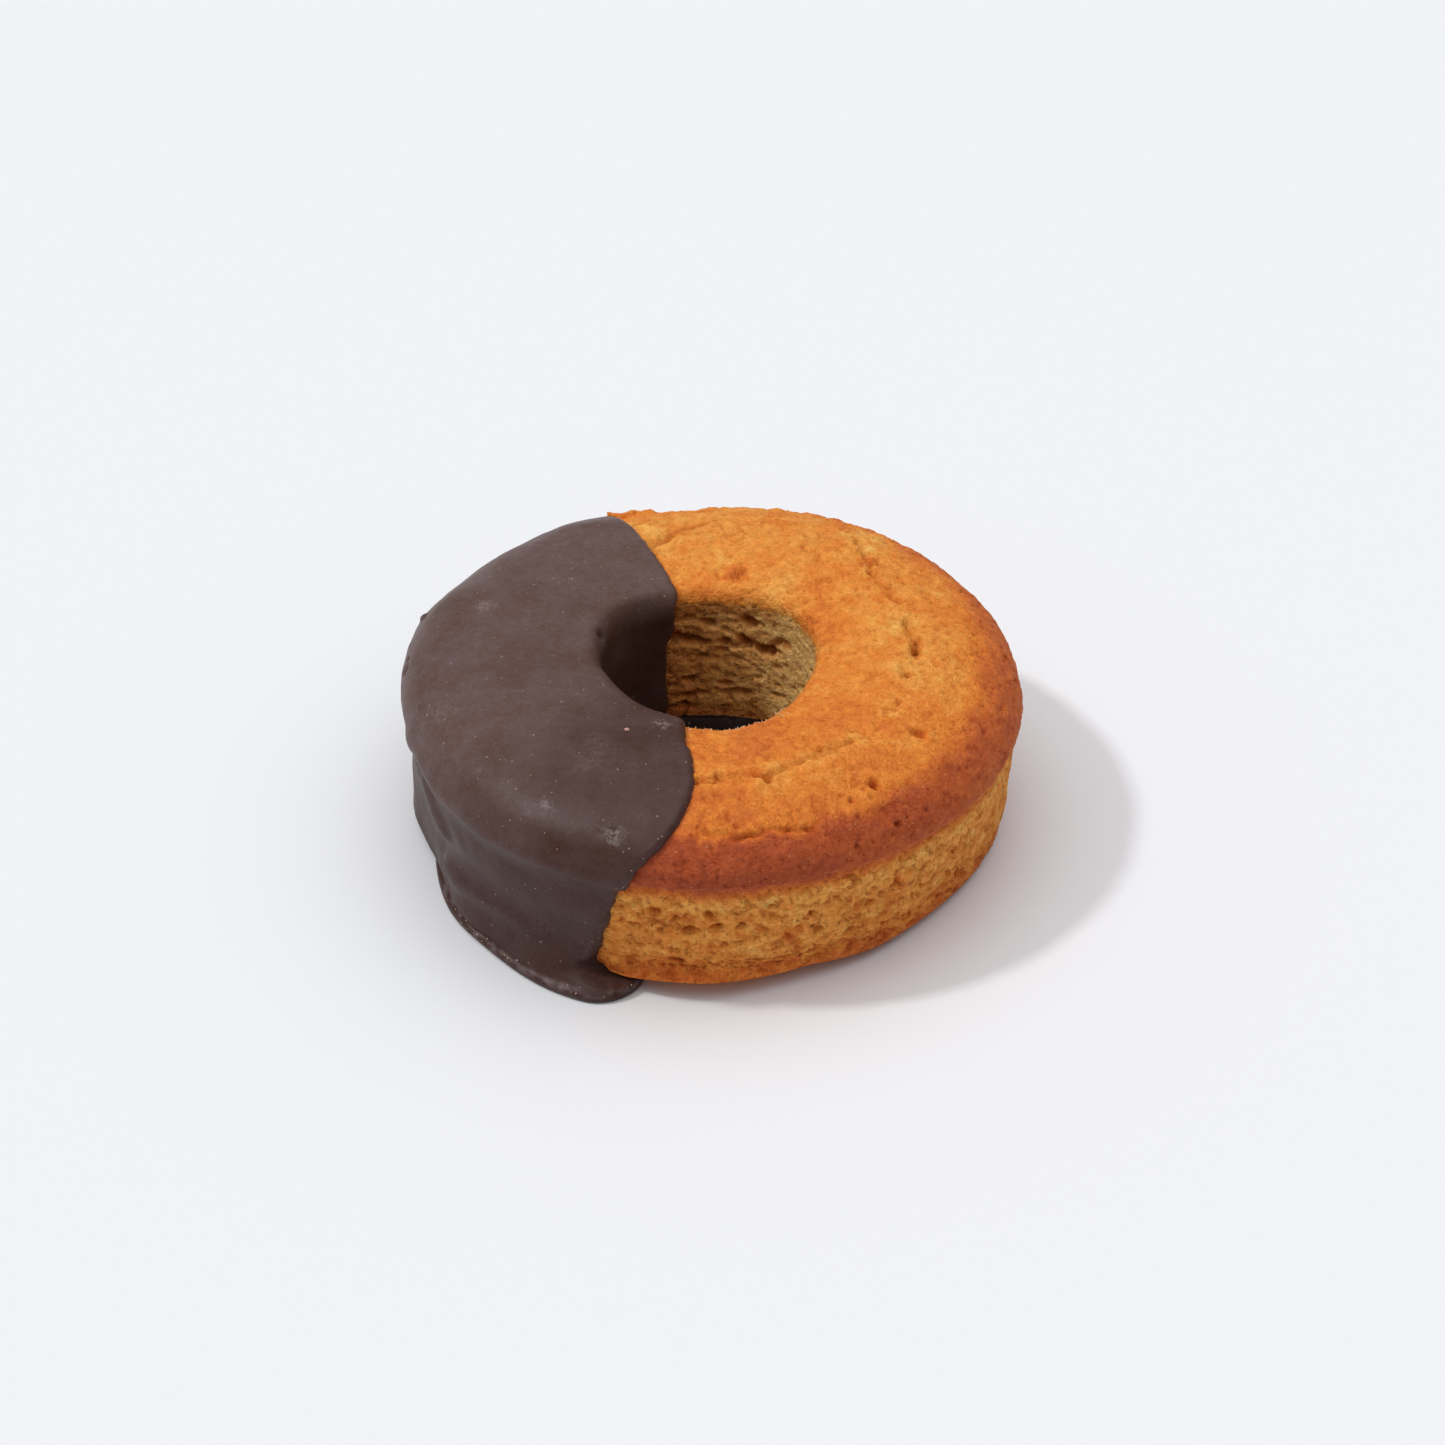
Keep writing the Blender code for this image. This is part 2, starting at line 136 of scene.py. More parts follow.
# %% [markdown]
# ## Light and floor
# The ring stands on a pale table in soft studio light: one large lamp from the left, a little
# in front, and a bright ceiling. A softbox could be an area lamp, but a sun lamp with a wide
# angle gives the same soft shadow edge wherever the camera goes. The world is bright overhead
# and dark at the horizon, as a ceiling lit by the lamps would be, which keeps the ring's side
# and hole darker than its top. The view transform is Standard, so a colour in a material is
# easy to compare with a colour in the photograph.

# %% Light and floor
TOWARDS_LAMP = Vector((-0.628, -0.020, 0.778))
LAMP_ANGLE, LAMP_STRENGTH = 5.5, 1.12
SKY_COLOUR = (0.987, 0.997, 1.016)
SKY_HORIZON, SKY_ZENITH = 0.12, 1.86
SKY_FALL = 3.0  # how fast the ceiling's light falls off towards the horizon
FLOOR_COLOUR = (0.818, 0.822, 0.838)
FLOOR_SIZE, FLOOR_HEIGHT = 4.0, -0.00005

lamp = add_object("lamp", bpy.data.lights.new("lamp", "SUN"))
lamp.data.energy = LAMP_STRENGTH
lamp.data.angle = math.radians(LAMP_ANGLE)
lamp.rotation_euler = TOWARDS_LAMP.to_track_quat("Z", "Y").to_euler()

world = bpy.data.worlds.new("studio")
world.use_nodes = True
sky = world.node_tree
background = sky.nodes["Background"]
background.inputs["Color"].default_value = (*SKY_COLOUR, 1.0)
direction = add_node(sky, "ShaderNodeTexCoord").outputs["Generated"]
upwards = add_node(sky, "ShaderNodeSeparateXYZ", {0: direction}).outputs["Z"]
steep = calculate(sky, "POWER", upwards, SKY_FALL, clamp=True)
brightness = calculate(sky, "MULTIPLY_ADD", steep, SKY_ZENITH - SKY_HORIZON, SKY_HORIZON)
plug(sky, background.inputs["Strength"], brightness)
bpy.context.scene.world = world
bpy.context.scene.view_settings.view_transform = "Standard"

bpy.ops.mesh.primitive_plane_add(size=FLOOR_SIZE, location=(0.0, 0.0, FLOOR_HEIGHT))
floor = bpy.context.object
floor.name = "table"
floor_material, floor_shader, _ = plain_material("pale_table", FLOOR_COLOUR, 0.9)
floor_shader.inputs["Specular IOR Level"].default_value = 0.1
floor.data.materials.append(floor_material)
print("lamp and floor ready")

# %% [markdown]
# ## Small helpers
# Every surface below is a rule: a place on the ring goes in, a height comes out. These helpers
# are the words of those rules: a smooth ramp, a bell-shaped bump, and noise. Blender has its
# own noise in mathutils, which answers for one point at a time. The version here answers for
# a hundred thousand points at once, which keeps the whole scene under a minute.

# %% Small helpers
SHUFFLE = np.random.default_rng(5).permutation(256)
DIRECTIONS = np.random.default_rng(6).normal(size=(256, 3))
DIRECTIONS /= np.linalg.norm(DIRECTIONS, axis=1)[:, None]


def smooth_step(low, high, value):
    """0 below low, 1 above high and a smooth rise between them; low may be the larger."""
    share = np.clip((value - low) / (high - low), 0.0, 1.0)
    return share * share * (3.0 - 2.0 * share)


def bell(distance, width):
    return np.exp(-((distance / width) ** 2))


def turn(azimuth, centre):
    """Signed angle in degrees from centre to azimuth, between -180 and 180."""
    return (azimuth - centre + 180.0) % 360.0 - 180.0


def polar(azimuth, radius, height):
    """Points from angles in degrees, distances from the axis and heights."""
    angle = np.radians(azimuth)
    return np.stack([radius * np.cos(angle), radius * np.sin(angle), height + 0.0 * angle], axis=-1)


def noise(points, size, seed=0):
    """Smooth random values from about -1 to 1, with bumps about `size` millimetres wide."""
    shifted = points / size + seed * 31.7
    cell = np.floor(shifted).astype(int)
    inside = shifted - cell
    ease = inside ** 3 * (inside * (inside * 6.0 - 15.0) + 10.0)
    total = np.zeros(len(points))
    for corner in np.ndindex(2, 2, 2):
        x, y, z = (cell + corner).T
        pick = SHUFFLE[(SHUFFLE[(SHUFFLE[x & 255] + y) & 255] + z) & 255]
        value = ((inside - corner) * DIRECTIONS[pick]).sum(axis=1)
        total += value * np.prod(np.where(corner, ease, 1.0 - ease), axis=1)
    return total * 1.7


def noises(points, *terms):
    """Several noises added up, each given as (amount, size, seed)."""
    return sum(amount * noise(points, size, seed) for amount, size, seed in terms)


def shake(points, size, amount, seed=0):
    """The points moved about by noise, so that a straight mark laid on them wanders."""
    moves = [noise(points, size, seed + axis) for axis in range(3)]
    return points + amount * np.stack(moves, axis=1)


def distance_to(points, spot):
    return np.linalg.norm(points - spot, axis=1)


def distance_to_path(points, path):
    """Distance of every point from the nearest leg of a path."""
    nearest = np.full(len(points), 1e9)
    for start, end in zip(path[:-1], path[1:]):
        leg = end - start
        share = np.clip((points - start) @ leg / (leg @ leg), 0.0, 1.0)
        gap = np.linalg.norm(points - start - share[:, None] * leg, axis=1)
        nearest = np.minimum(nearest, gap)
    return nearest


print("noise test:", np.round(noise(np.array([[1.0, 2.0, 3.0]]), 2.5), 3))

# %% [markdown]
# ## The ring's section
# Cut through, the cake is a low loaf: a straight hole wall, a rounded lip, a gently domed top
# that rolls over to the rim, and a side that leans in down to a rounded heel. A lathe profile
# drawn by hand would do, but here each stretch is a line or an arc between a few named sizes,
# so the number of rows can be chosen freely and the crust can be made as fine as it needs.

# %% The ring's section
HOLE_RADIUS = 14.4
LIP_ROUND = 2.2
LIP_DROP = 0.9  # how far the hole's edge lies below the crown
CROWN_RADIUS, CROWN_HEIGHT = 24.5, 25.8
RIM_RADIUS, RIM_HEIGHT = 39.45, 18.0
CRUST_EDGE_HEIGHT = 17.0
CRUST_OVERHANG = 0.6
WALL_TAPER = 1.3
HEEL_ROUND, HOLE_HEEL_ROUND = 3.0, 1.5
ZONES = ("hole", "lip", "top", "dome", "edge", "side", "heel", "base", "hole heel")
SIDE_RADIUS = RIM_RADIUS - CRUST_OVERHANG
HEEL_RADIUS = SIDE_RADIUS - WALL_TAPER


def section(counts):
    """Rows of the section as (place, radius, height), up the hole's wall and round to its heel.
    The whole part of a place is its zone's number, and the rest is how far along it lies."""
    rows = []

    def add(zone, radii, heights):
        for index, (radius, height) in enumerate(zip(radii, heights)):
            rows.append((ZONES.index(zone) + (index + 1) / len(radii), radius, height))

    def steps(first, last, count):
        return np.linspace(first, last, count + 1)[1:]

    lip_height = CROWN_HEIGHT - LIP_DROP
    lip_outer = HOLE_RADIUS + LIP_ROUND
    wall = np.linspace(HOLE_HEEL_ROUND, lip_height - LIP_ROUND, counts["hole"])
    add("hole", np.full(len(wall), HOLE_RADIUS), wall)
    a = steps(0.0, math.pi / 2, counts["lip"])
    add("lip", lip_outer - LIP_ROUND * np.cos(a), lip_height - LIP_ROUND * (1 - np.sin(a)))
    share = steps(1.0, 0.0, counts["top"])
    add("top", CROWN_RADIUS - (CROWN_RADIUS - lip_outer) * share, CROWN_HEIGHT - LIP_DROP * share ** 2)
    a = steps(0.0, math.pi / 2, counts["dome"])
    add("dome", CROWN_RADIUS + (RIM_RADIUS - CROWN_RADIUS) * np.sin(a),
        RIM_HEIGHT + (CROWN_HEIGHT - RIM_HEIGHT) * np.cos(a) ** 0.9)
    share = steps(0.0, 1.0, counts["edge"])
    add("edge", RIM_RADIUS - CRUST_OVERHANG * smooth_step(0.0, 1.0, share),
        RIM_HEIGHT - (RIM_HEIGHT - CRUST_EDGE_HEIGHT) * share)
    share = steps(0.0, 1.0, counts["side"])
    add("side", SIDE_RADIUS - WALL_TAPER * share ** 1.3,
        CRUST_EDGE_HEIGHT - (CRUST_EDGE_HEIGHT - HEEL_ROUND) * share)
    a = steps(0.0, math.pi / 2, counts["heel"])
    add("heel", HEEL_RADIUS - HEEL_ROUND * (1 - np.cos(a)), HEEL_ROUND * (1 - np.sin(a)))
    inner = HOLE_RADIUS + HOLE_HEEL_ROUND
    radii = steps(HEEL_RADIUS - HEEL_ROUND, inner, counts["base"])
    add("base", radii, np.zeros(len(radii)))
    a = steps(0.0, math.pi / 2, counts["hole heel"] + 1)[:-1]
    add("hole heel", inner - HOLE_HEEL_ROUND * np.sin(a), HOLE_HEEL_ROUND * (1 - np.cos(a)))
    return np.array(rows)


CAKE_ROWS = {"hole": 64, "lip": 11, "top": 25, "dome": 53, "edge": 4, "side": 43, "heel": 14,
             "base": 5, "hole heel": 2}
cake_rows = section(CAKE_ROWS)
print("the cake's section has", len(cake_rows), "rows")

# %% [markdown]
# ## The uneven ring
# No baked ring is round. Dough spreads unevenly, the tin pulls the heel in, and this one leans,
# because its dipped side lies on its own chocolate. A lattice or proportional editing could
# bend a perfect ring. A few slow waves round the outline do the same as a formula, and both
# the cake and the chocolate read the same formula, so they always fit each other.

# %% The uneven ring
TILT = 1.0
# Slow waves round the ring: (waves round it, cosine part, sine part)
RIM_WAVES = ((1, 0.40, 0.0), (2, -0.55, 0.59), (3, 0.13, 0.26), (4, -0.05, -0.23))
HOLE_WAVES = ((1, -0.95, -0.85), (2, -0.28, -0.11), (3, -0.18, 0.90))
HEEL_WAVES = ((1, 0.35, 0.0), (3, 0.15, 0.2))
TOP_SWELLS = ((2, 0.12, 0.10), (3, -0.10, 0.08), (5, 0.07, -0.06))
# Azimuth, spread and depth where the heel shrank back most
HEEL_TUCKS = ((-42.0, 25.0, 1.3), (204.0, 17.0, 1.3))
SWELL_RADII = (15.0, 22.0)
OUTER_RADIUS, INNER_RADIUS = 20.0, 28.0
WALL_HEIGHTS = (13.0, 4.0)  # the rim's outline turns into the heel's between these heights
DIPPED_SINK = 0.65
BACK_RISE = (78.0, 38.0, 0.5)  # azimuth, spread and height of the part that rose most
RESTING_EDGE = HEEL_RADIUS - HEEL_ROUND + HEEL_WAVES[0][1]


def waves(azimuth, terms):
    angle = np.radians(azimuth)
    return sum(c * np.cos(n * angle) + s * np.sin(n * angle) for n, c, s in terms)


def ring_point(azimuth, radius, height, bare=True):
    """Places points of the section on the uneven, leaning ring."""
    low = smooth_step(*WALL_HEIGHTS, height)
    outer = smooth_step(OUTER_RADIUS, RIM_RADIUS, radius)
    inner = smooth_step(INNER_RADIUS, HOLE_RADIUS, radius)
    heel = waves(azimuth, HEEL_WAVES)
    for centre, spread, depth in HEEL_TUCKS:
        heel = heel - depth * bell(turn(azimuth, centre), spread)
    r = radius + outer * ((1 - low) * waves(azimuth, RIM_WAVES) + low * heel)
    r = r + inner * waves(azimuth, HOLE_WAVES)
    top = smooth_step(RIM_HEIGHT - 1.0, RIM_HEIGHT + 3.0, height)
    z = height - top * DIPPED_SINK * smooth_step(0.0, -0.9, np.cos(np.radians(azimuth)))
    if bare:
        centre, spread, rise = BACK_RISE
        swell = waves(azimuth, TOP_SWELLS) * smooth_step(*SWELL_RADII, radius)
        z = z + top * (swell + rise * bell(turn(azimuth, centre), spread))
    points = polar(azimuth, r, z)
    points[..., 2] += (RESTING_EDGE - points[..., 0]) * math.tan(math.radians(TILT))
    return points


test_rim = ring_point(np.array([0.0, 90.0, 180.0, 270.0]), RIM_RADIUS, RIM_HEIGHT)
print("rim at right, back, left, front:", np.hypot(test_rim[:, 0], test_rim[:, 1]).round(2))

# %% [markdown]
# ## The dip line
# The chocolate ends in a line over the front, across the top, down into the hole and up the
# back. It is given as a list of named places of the section with the azimuth where the edge
# crosses them. The cake needs it too: its relief fades out under the chocolate, so no grain
# of crust can poke through the coat.

# %% The dip line
DIP_FRONT = (
    ("hole", 0.0, 252.0), ("hole", 1.0, 257.0), ("lip", 1.0, 259.5), ("top", 0.6, 262.0),
    ("top", 1.0, 264.2), ("dome", 0.2, 266.2), ("dome", 0.35, 265.4), ("dome", 0.5, 263.9),
    ("dome", 0.62, 261.8), ("dome", 0.8, 258.8), ("dome", 1.0, 256.2), ("edge", 1.0, 254.8),
    ("side", 0.27, 252.8), ("side", 0.60, 250.6), ("side", 0.88, 249.0), ("heel", 0.4, 256.6),
    ("heel", 1.0, 256.6), ("base", 1.0, 254.0), ("hole heel", 1.0, 252.0),
)
DIP_BACK = (
    ("hole", 0.0, 118.0), ("hole", 0.75, 115.3), ("hole", 0.86, 111.5), ("lip", 0.5, 108.8),
    ("top", 0.2, 109.5), ("top", 1.0, 111.0), ("dome", 0.6, 112.0), ("dome", 1.0, 115.0),
    ("side", 1.0, 119.0), ("heel", 1.0, 117.0), ("base", 1.0, 117.0), ("hole heel", 1.0, 118.0),
)


def dip_azimuth(place, table):
    """Azimuth of the chocolate's edge at places of the section."""
    places = [ZONES.index(zone) + share for zone, share, _ in table]
    return np.interp(place, places, [azimuth for _, _, azimuth in table])


def bare_reach(azimuth, place, radius):
    """How far inside the bare cake a point lies, in millimetres; negative under the chocolate."""
    to_front = turn(azimuth, dip_azimuth(place, DIP_FRONT))
    to_back = -turn(azimuth, dip_azimuth(place, DIP_BACK))
    return np.radians(np.where(turn(azimuth, 2.0) < 0.0, to_front, to_back)) * radius


print("places on the dip line:", len(DIP_FRONT), "in front,", len(DIP_BACK), "at the back")

# %% [markdown]
# ## The cake's mesh
# The cake is one closed skin. A sculpt would start from a remesh, but a grid that follows the
# ring keeps clean rows, and its spacing can be chosen: about a third of a millimetre where the
# cake is bare, ten times that under the chocolate. The rim is nearly three times as long as
# the hole's edge, so the outer rows have two columns for each one of the inner rows.

# %% The cake's mesh
BARE_FROM, BARE_TO = -114.0, 124.0
BARE_COLUMNS, HIDDEN_COLUMNS = 262, 22


def closed_mesh(name, points, faces):
    """A smooth-shaded mesh from points in millimetres, with its faces turned outwards."""
    mesh = bpy.data.meshes.new(name)
    mesh.from_pydata((points * MM).tolist(), [], faces)
    corners = points[[face[:3] for face in faces]]
    if np.linalg.det(corners - points.mean(axis=0)).sum() < 0:
        mesh.flip_normals()
    mesh.shade_smooth()
    mesh.update()
    return mesh


def read_vertices(mesh, kind):
    """Every vertex's "co" in metres, or its "normal", as three columns."""
    values = np.empty(len(mesh.vertices) * 3)
    mesh.vertices.foreach_get(kind, values)
    return values.reshape(-1, 3)


def move_vertices(mesh, points):
    mesh.vertices.foreach_set("co", (points * MM).ravel())
    mesh.update()


def ring_columns():
    """Azimuths of the inner rows, and of the outer rows with one more between each two."""
    bare = np.linspace(BARE_FROM, BARE_TO, BARE_COLUMNS + 1)
    hidden = np.linspace(BARE_TO, BARE_FROM + 360.0, HIDDEN_COLUMNS + 1)[1:-1]
    inner = np.concatenate([bare, hidden])
    between = (inner + np.append(inner[1:], inner[0] + 360.0)) / 2
    return inner, np.stack([inner, between], axis=1).ravel()


def ring_faces(first, first_count, second, second_count):
    """Faces between two rows of vertices, one of which may have twice as many columns."""
    a = [first + j % first_count for j in range(first_count + 1)]
    b = [second + j % second_count for j in range(second_count + 1)]
    if first_count == second_count:
        return [(a[j], a[j + 1], b[j + 1], b[j]) for j in range(first_count)]
    faces = []
    for j in range(min(first_count, second_count)):
        k = 2 * j
        if second_count > first_count:
            faces += [(a[j], a[j + 1], b[k + 1]), (a[j], b[k + 1], b[k]), (a[j + 1], b[k + 2], b[k + 1])]
        else:
            faces += [(b[j + 1], b[j], a[k + 1]), (b[j], a[k], a[k + 1]), (b[j + 1], a[k + 1], a[k + 2])]
    return faces


def cake_grid(rows):
    """Azimuth, place, radius and height of every vertex, and the faces."""
    inner, outer = ring_columns()
    fine = (rows[:, 0] > ZONES.index("dome")) & (rows[:, 0] <= ZONES.index("heel") + 1)
    azimuths = [outer if is_fine else inner for is_fine in fine]
    counts = [len(row) for row in azimuths]
    starts = np.concatenate([[0], np.cumsum(counts)[:-1]])
    faces = []
    for i in range(len(rows)):
        after = (i + 1) % len(rows)
        faces += ring_faces(int(starts[i]), counts[i], int(starts[after]), counts[after])
    spread = [np.repeat(rows[:, column], counts) for column in range(3)]
    return (np.concatenate(azimuths), *spread, faces)


azimuth, place, radius, height, cake_faces = cake_grid(cake_rows)
base = ring_point(azimuth, radius, height)
around = np.degrees(np.arctan2(base[:, 1], base[:, 0]))
reach = np.hypot(base[:, 0], base[:, 1])
level = base[:, 2]
cake_mesh = closed_mesh("cake_crumb", base, cake_faces)
normals = read_vertices(cake_mesh, "normal")
print("cake:", len(base), "vertices,", sum(len(face) - 2 for face in cake_faces), "triangles")

# %% [markdown]
# ## Where the crust ends
# The tin left the side of the ring pale and open, and the hole was cut or torn, so only the
# top wears a crust. Its edge is never a clean line: the crust frays where it meets the crumb.
# A mask from 0 to 1 says which is which. Shapes and colours both read it.

# %% Crust mask
CRUST_LINE_OUTSIDE, CRUST_LINE_HOLE = 16.75, 22.8  # section heights where crust turns to crumb
SOFTNESS_OUTSIDE, SOFTNESS_HOLE = 0.9, 0.4
RELIEF_FADE = (-1.8, -0.4)  # relief fades in between these distances inside the dip line


def zone_mask(*names):
    return np.isin(np.ceil(place).astype(int) - 1, [ZONES.index(name) for name in names])


outside = radius > CROWN_RADIUS
fray = noises(base, (0.45, 1.1, 1), (0.45, 3.0, 2), (0.35, 0.6, 3))
line = np.where(outside, CRUST_LINE_OUTSIDE + 0.7 * fray, CRUST_LINE_HOLE + fray)
softness = np.where(outside, SOFTNESS_OUTSIDE, SOFTNESS_HOLE)
crust = smooth_step(-softness, softness, height - line)
on_side = zone_mask("side", "heel", "edge")
on_wall = zone_mask("hole", "lip")
inside_bare = bare_reach(azimuth, place, reach)
bare = smooth_step(*RELIEF_FADE, inside_bare)
print("share of crust:", round(float(crust.mean()), 3))

# %% [markdown]
# ## Crust relief
# Baked crust is a skin of dried batter: fine grain, slow lumps, wandering cracks where it
# split as the crumb rose, and small pits where bubbles burst. A displacement texture gives
# grain but no story. Here grain is noise at three sizes, and each crack follows a short path
# over the top, shaken by noise so that it wanders as a tear does.

# %% Crust relief
GRAIN = ((0.07, 0.62, 10), (0.10, 1.3, 11), (0.17, 3.6, 12))  # height, size and seed
BACK_ROUGHNESS = 0.22  # the far rim bulges in coarser lumps, which shows in its outline
DEEPER, PIT_DEEPER = 1.5, 1.2
# Paths over the top: (depth, width, points as azimuth and distance from the axis)
CRACKS = (
    (0.60, 0.36, ((-95, 29.3), (-89, 29.0), (-82, 27.8), (-78, 28.5), (-77, 29.2), (-75, 28.3),
                  (-69, 27.7), (-64, 27.0), (-59, 26.9), (-50, 26.4))),
    (0.28, 0.36, ((-92, 36.6), (-85, 36.8), (-78, 36.4), (-72, 36.6))),
    (0.75, 0.45, ((12, 25.2), (6, 25.5), (1, 25.9), (-6, 25.8))),
    (0.40, 0.36, ((-12, 24.2), (-15, 25.2), (-18, 25.8))),
    (0.30, 0.32, ((-28, 25.9), (-35, 26.3))),
    (0.36, 0.36, ((54, 31.6), (50, 30.7), (45, 28.6), (38, 26.4), (30, 26.1), (21, 25.8))),
    (0.60, 0.55, ((112, 24.6), (107, 25.0), (103, 25.6))),
    (0.08, 0.60, ((103, 26.4), (97, 27.4), (92, 29.1))),
    (0.30, 0.40, ((112, 31.5), (106, 32.4), (100, 32.0))),
)
# Pits: azimuth, distance from the axis, radius, depth
PITS = (
    (-76.8, 29.2, 0.8, 1.1), (-54.3, 33.5, 1.0, 0.9), (-0.8, 25.8, 0.9, 1.3), (2.5, 25.5, 0.7, 1.0),
    (-15.5, 25.3, 0.6, 0.9), (37.5, 26.3, 0.9, 0.9), (4.2, 37.6, 0.5, 0.6), (26.6, 36.5, 0.4, 0.5),
    (-54.5, 38.0, 0.6, 0.5), (-63.6, 38.7, 0.4, 0.4), (-35.6, 31.1, 1.1, 0.4), (-32.5, 26.4, 0.35, 0.4),
    (30.2, 26.6, 0.4, 0.6), (21.1, 26.1, 0.4, 0.5), (-61.4, 34.8, 0.4, 0.4), (-85.6, 35.8, 0.4, 0.4),
    (61.2, 24.6, 0.5, 0.5), (-6.4, 29.3, 0.35, 0.4), (-60.0, 26.4, 0.6, 0.7), (-89.0, 28.3, 0.5, 0.6),
)
SMALL_PITS = 1000
BLISTERS = ((80.0, 17.0, 1.5, 0.60), (43.0, 28.0, 1.4, 0.50), (-38.0, 28.4, 2.0, 0.25))


def on_top(spot_azimuth, spot_reach):
    """The point of the crust at an azimuth and a distance from the axis."""
    wanted = polar(spot_azimuth, spot_reach, 0.0)
    top = np.flatnonzero(level > RIM_HEIGHT)
    gap = np.hypot(base[top, 0] - wanted[0], base[top, 1] - wanted[1])
    return base[top[np.argmin(gap)]]


crust_relief = noises(base, *GRAIN)
crust_relief -= 0.05 * np.abs(noise(base, 1.9, 15))
far_rim = smooth_step(33.0, 37.0, reach) * smooth_step(25.0, 60.0, around)
crust_relief += BACK_ROUGHNESS * far_rim * (noise(base, 1.8, 18) + 0.6 * noise(base, 0.8, 19))
wandering = shake(base, 1.5, 0.5, 20)
hairline = bell(noise(wandering, 4.2, 16), 0.055) * smooth_step(0.0, 0.4, noise(base, 5.0, 17))
crust_relief -= 0.22 * hairline
crack_shade = 0.45 * hairline
pale = np.zeros(len(base))
strength = np.clip(0.90 + 0.7 * noise(base, 2.4, 24), 0.3, 1.2)
for depth, width, path in CRACKS:
    gap = distance_to_path(wandering, np.array([on_top(*spot) for spot in path]))
    cut = strength * bell(gap, width)
    crust_relief -= DEEPER * depth * cut + 0.18 * bell(gap, 3.0 * width)
    crust_relief += 0.16 * bell(gap - 2.2 * width, 1.2 * width)
    crack_shade = np.maximum(crack_shade, cut)
    pale = np.maximum(pale, min(1.0, depth / 0.45) ** 2 * bell(gap, 1.9))
crust_relief += pale * (0.14 * noise(base, 0.8, 21) + 0.10 * noise(base, 1.5, 22))
pit_field = shake(base, 1.0, 0.3, 30)
for spot_azimuth, spot_reach, size, depth in PITS:
    gap = distance_to(pit_field, on_top(spot_azimuth, spot_reach))
    dip = smooth_step(size, 0.35 * size, gap)
    crust_relief -= PIT_DEEPER * depth * dip
    crust_relief += 0.12 * bell(gap - 1.35 * size, 0.5 * size)
    crack_shade = np.maximum(crack_shade, dip)
blister = np.zeros(len(base))
for spot_azimuth, spot_reach, size, rise in BLISTERS:
    gap = distance_to(wandering, on_top(spot_azimuth, spot_reach))
    collar = 0.5 * rise * bell(gap - 1.15 * size, 0.3)
    crust_relief += rise * smooth_step(1.1 * size, 0.5 * size, gap) - collar
    blister = np.maximum(blister, smooth_step(1.3 * size, 0.7 * size, gap))
random = np.random.default_rng(31)
bare_crust = (crust > 0.9) & (inside_bare > 1.0)
for vertex in random.choice(np.flatnonzero(bare_crust), SMALL_PITS, replace=False):
    size = random.uniform(0.25, 0.5)
    close = np.flatnonzero(np.abs(base[:, 0] - base[vertex, 0]) < 1.0)
    dip = smooth_step(size, 0.2 * size, distance_to(base[close], base[vertex]))
    crust_relief[close] -= 0.55 * size * dip
    crack_shade[close] = np.maximum(crack_shade[close], 0.6 * dip)
print("deepest mark in the crust:", round(float(crust_relief.min()), 2), "mm")

# %% [markdown]
# ## Open crumb on the side
# Where the batter lay against the tin the side is a sponge: a few bubbles two millimetres
# wide, many small ones and thin walls between them. A Voronoi texture gives foam that is far
# too regular. A seeded scatter of dents, few large and many small, with outlines bent by
# noise, looks baked, and the largest ones sit where the real ring has them.

# %% Side pores
# Large pores: azimuth, height, half width, half height, depth
SIDE_PORES = (
    (-103.7, 11.6, 1.0, 0.7, 0.9), (-90.5, 13.6, 0.7, 0.9, 1.0), (-79.4, 14.4, 0.8, 0.6, 0.8),
    (-96.1, 13.4, 0.6, 0.6, 0.7), (-94.0, 11.2, 1.3, 0.7, 0.9), (-98.8, 10.9, 0.7, 0.8, 0.7),
    (-60.0, 10.4, 0.9, 0.6, 0.8), (-103.1, 7.8, 0.8, 0.5, 0.8), (-96.2, 5.2, 1.2, 0.6, 0.9),
    (-71.8, 11.6, 0.8, 0.5, 0.7), (-54.0, 12.2, 0.5, 0.9, 0.8), (-38.4, 11.4, 0.7, 0.9, 0.9),
    (-34.3, 12.4, 0.6, 0.8, 0.8), (-63.0, 6.9, 0.9, 0.6, 0.7), (-34.5, 6.1, 0.5, 0.9, 0.7),
    (-87.7, 8.7, 0.8, 0.5, 0.5), (-27.0, 10.1, 0.5, 0.7, 0.7), (-75.8, 8.4, 0.9, 0.7, 0.4),
    (-51.8, 8.1, 0.6, 0.7, 0.6), (-46.0, 14.0, 0.4, 0.7, 0.6), (-72.6, 15.0, 0.6, 0.4, 0.5),
)
# Scattered pores: how many, smallest and largest half width
SIDE_SCATTER = ((150, 0.5, 1.05), (650, 0.26, 0.5), (1500, 0.16, 0.3))
SIDE_LEVELS = (0.8, CRUST_EDGE_HEIGHT - 1.1)
# Ragged hollows between them: size of the noise, where it starts and ends, depth
SIDE_FOAM = ((0.75, 0.15, 0.60, 0.32), (1.5, 0.25, 0.70, 0.50), (2.9, 0.35, 0.80, 0.40))


def press_pore(depths, vertices, spot_azimuth, spot_level, half_width, half_height, depth):
    """Presses one bubble into a wall; its outline is bent by noise."""
    sideways = turn(around[vertices], spot_azimuth)
    close = vertices[np.abs(sideways) < np.degrees(1.6 * half_width / reach[vertices])]
    across = np.radians(turn(around[close], spot_azimuth)) * reach[close] / half_width
    upwards = (level[close] - spot_level) / half_height
    far = np.hypot(across, upwards) + 0.38 * bend[close]
    depths[close] = np.maximum(depths[close], depth * smooth_step(1.05, 0.35, far))


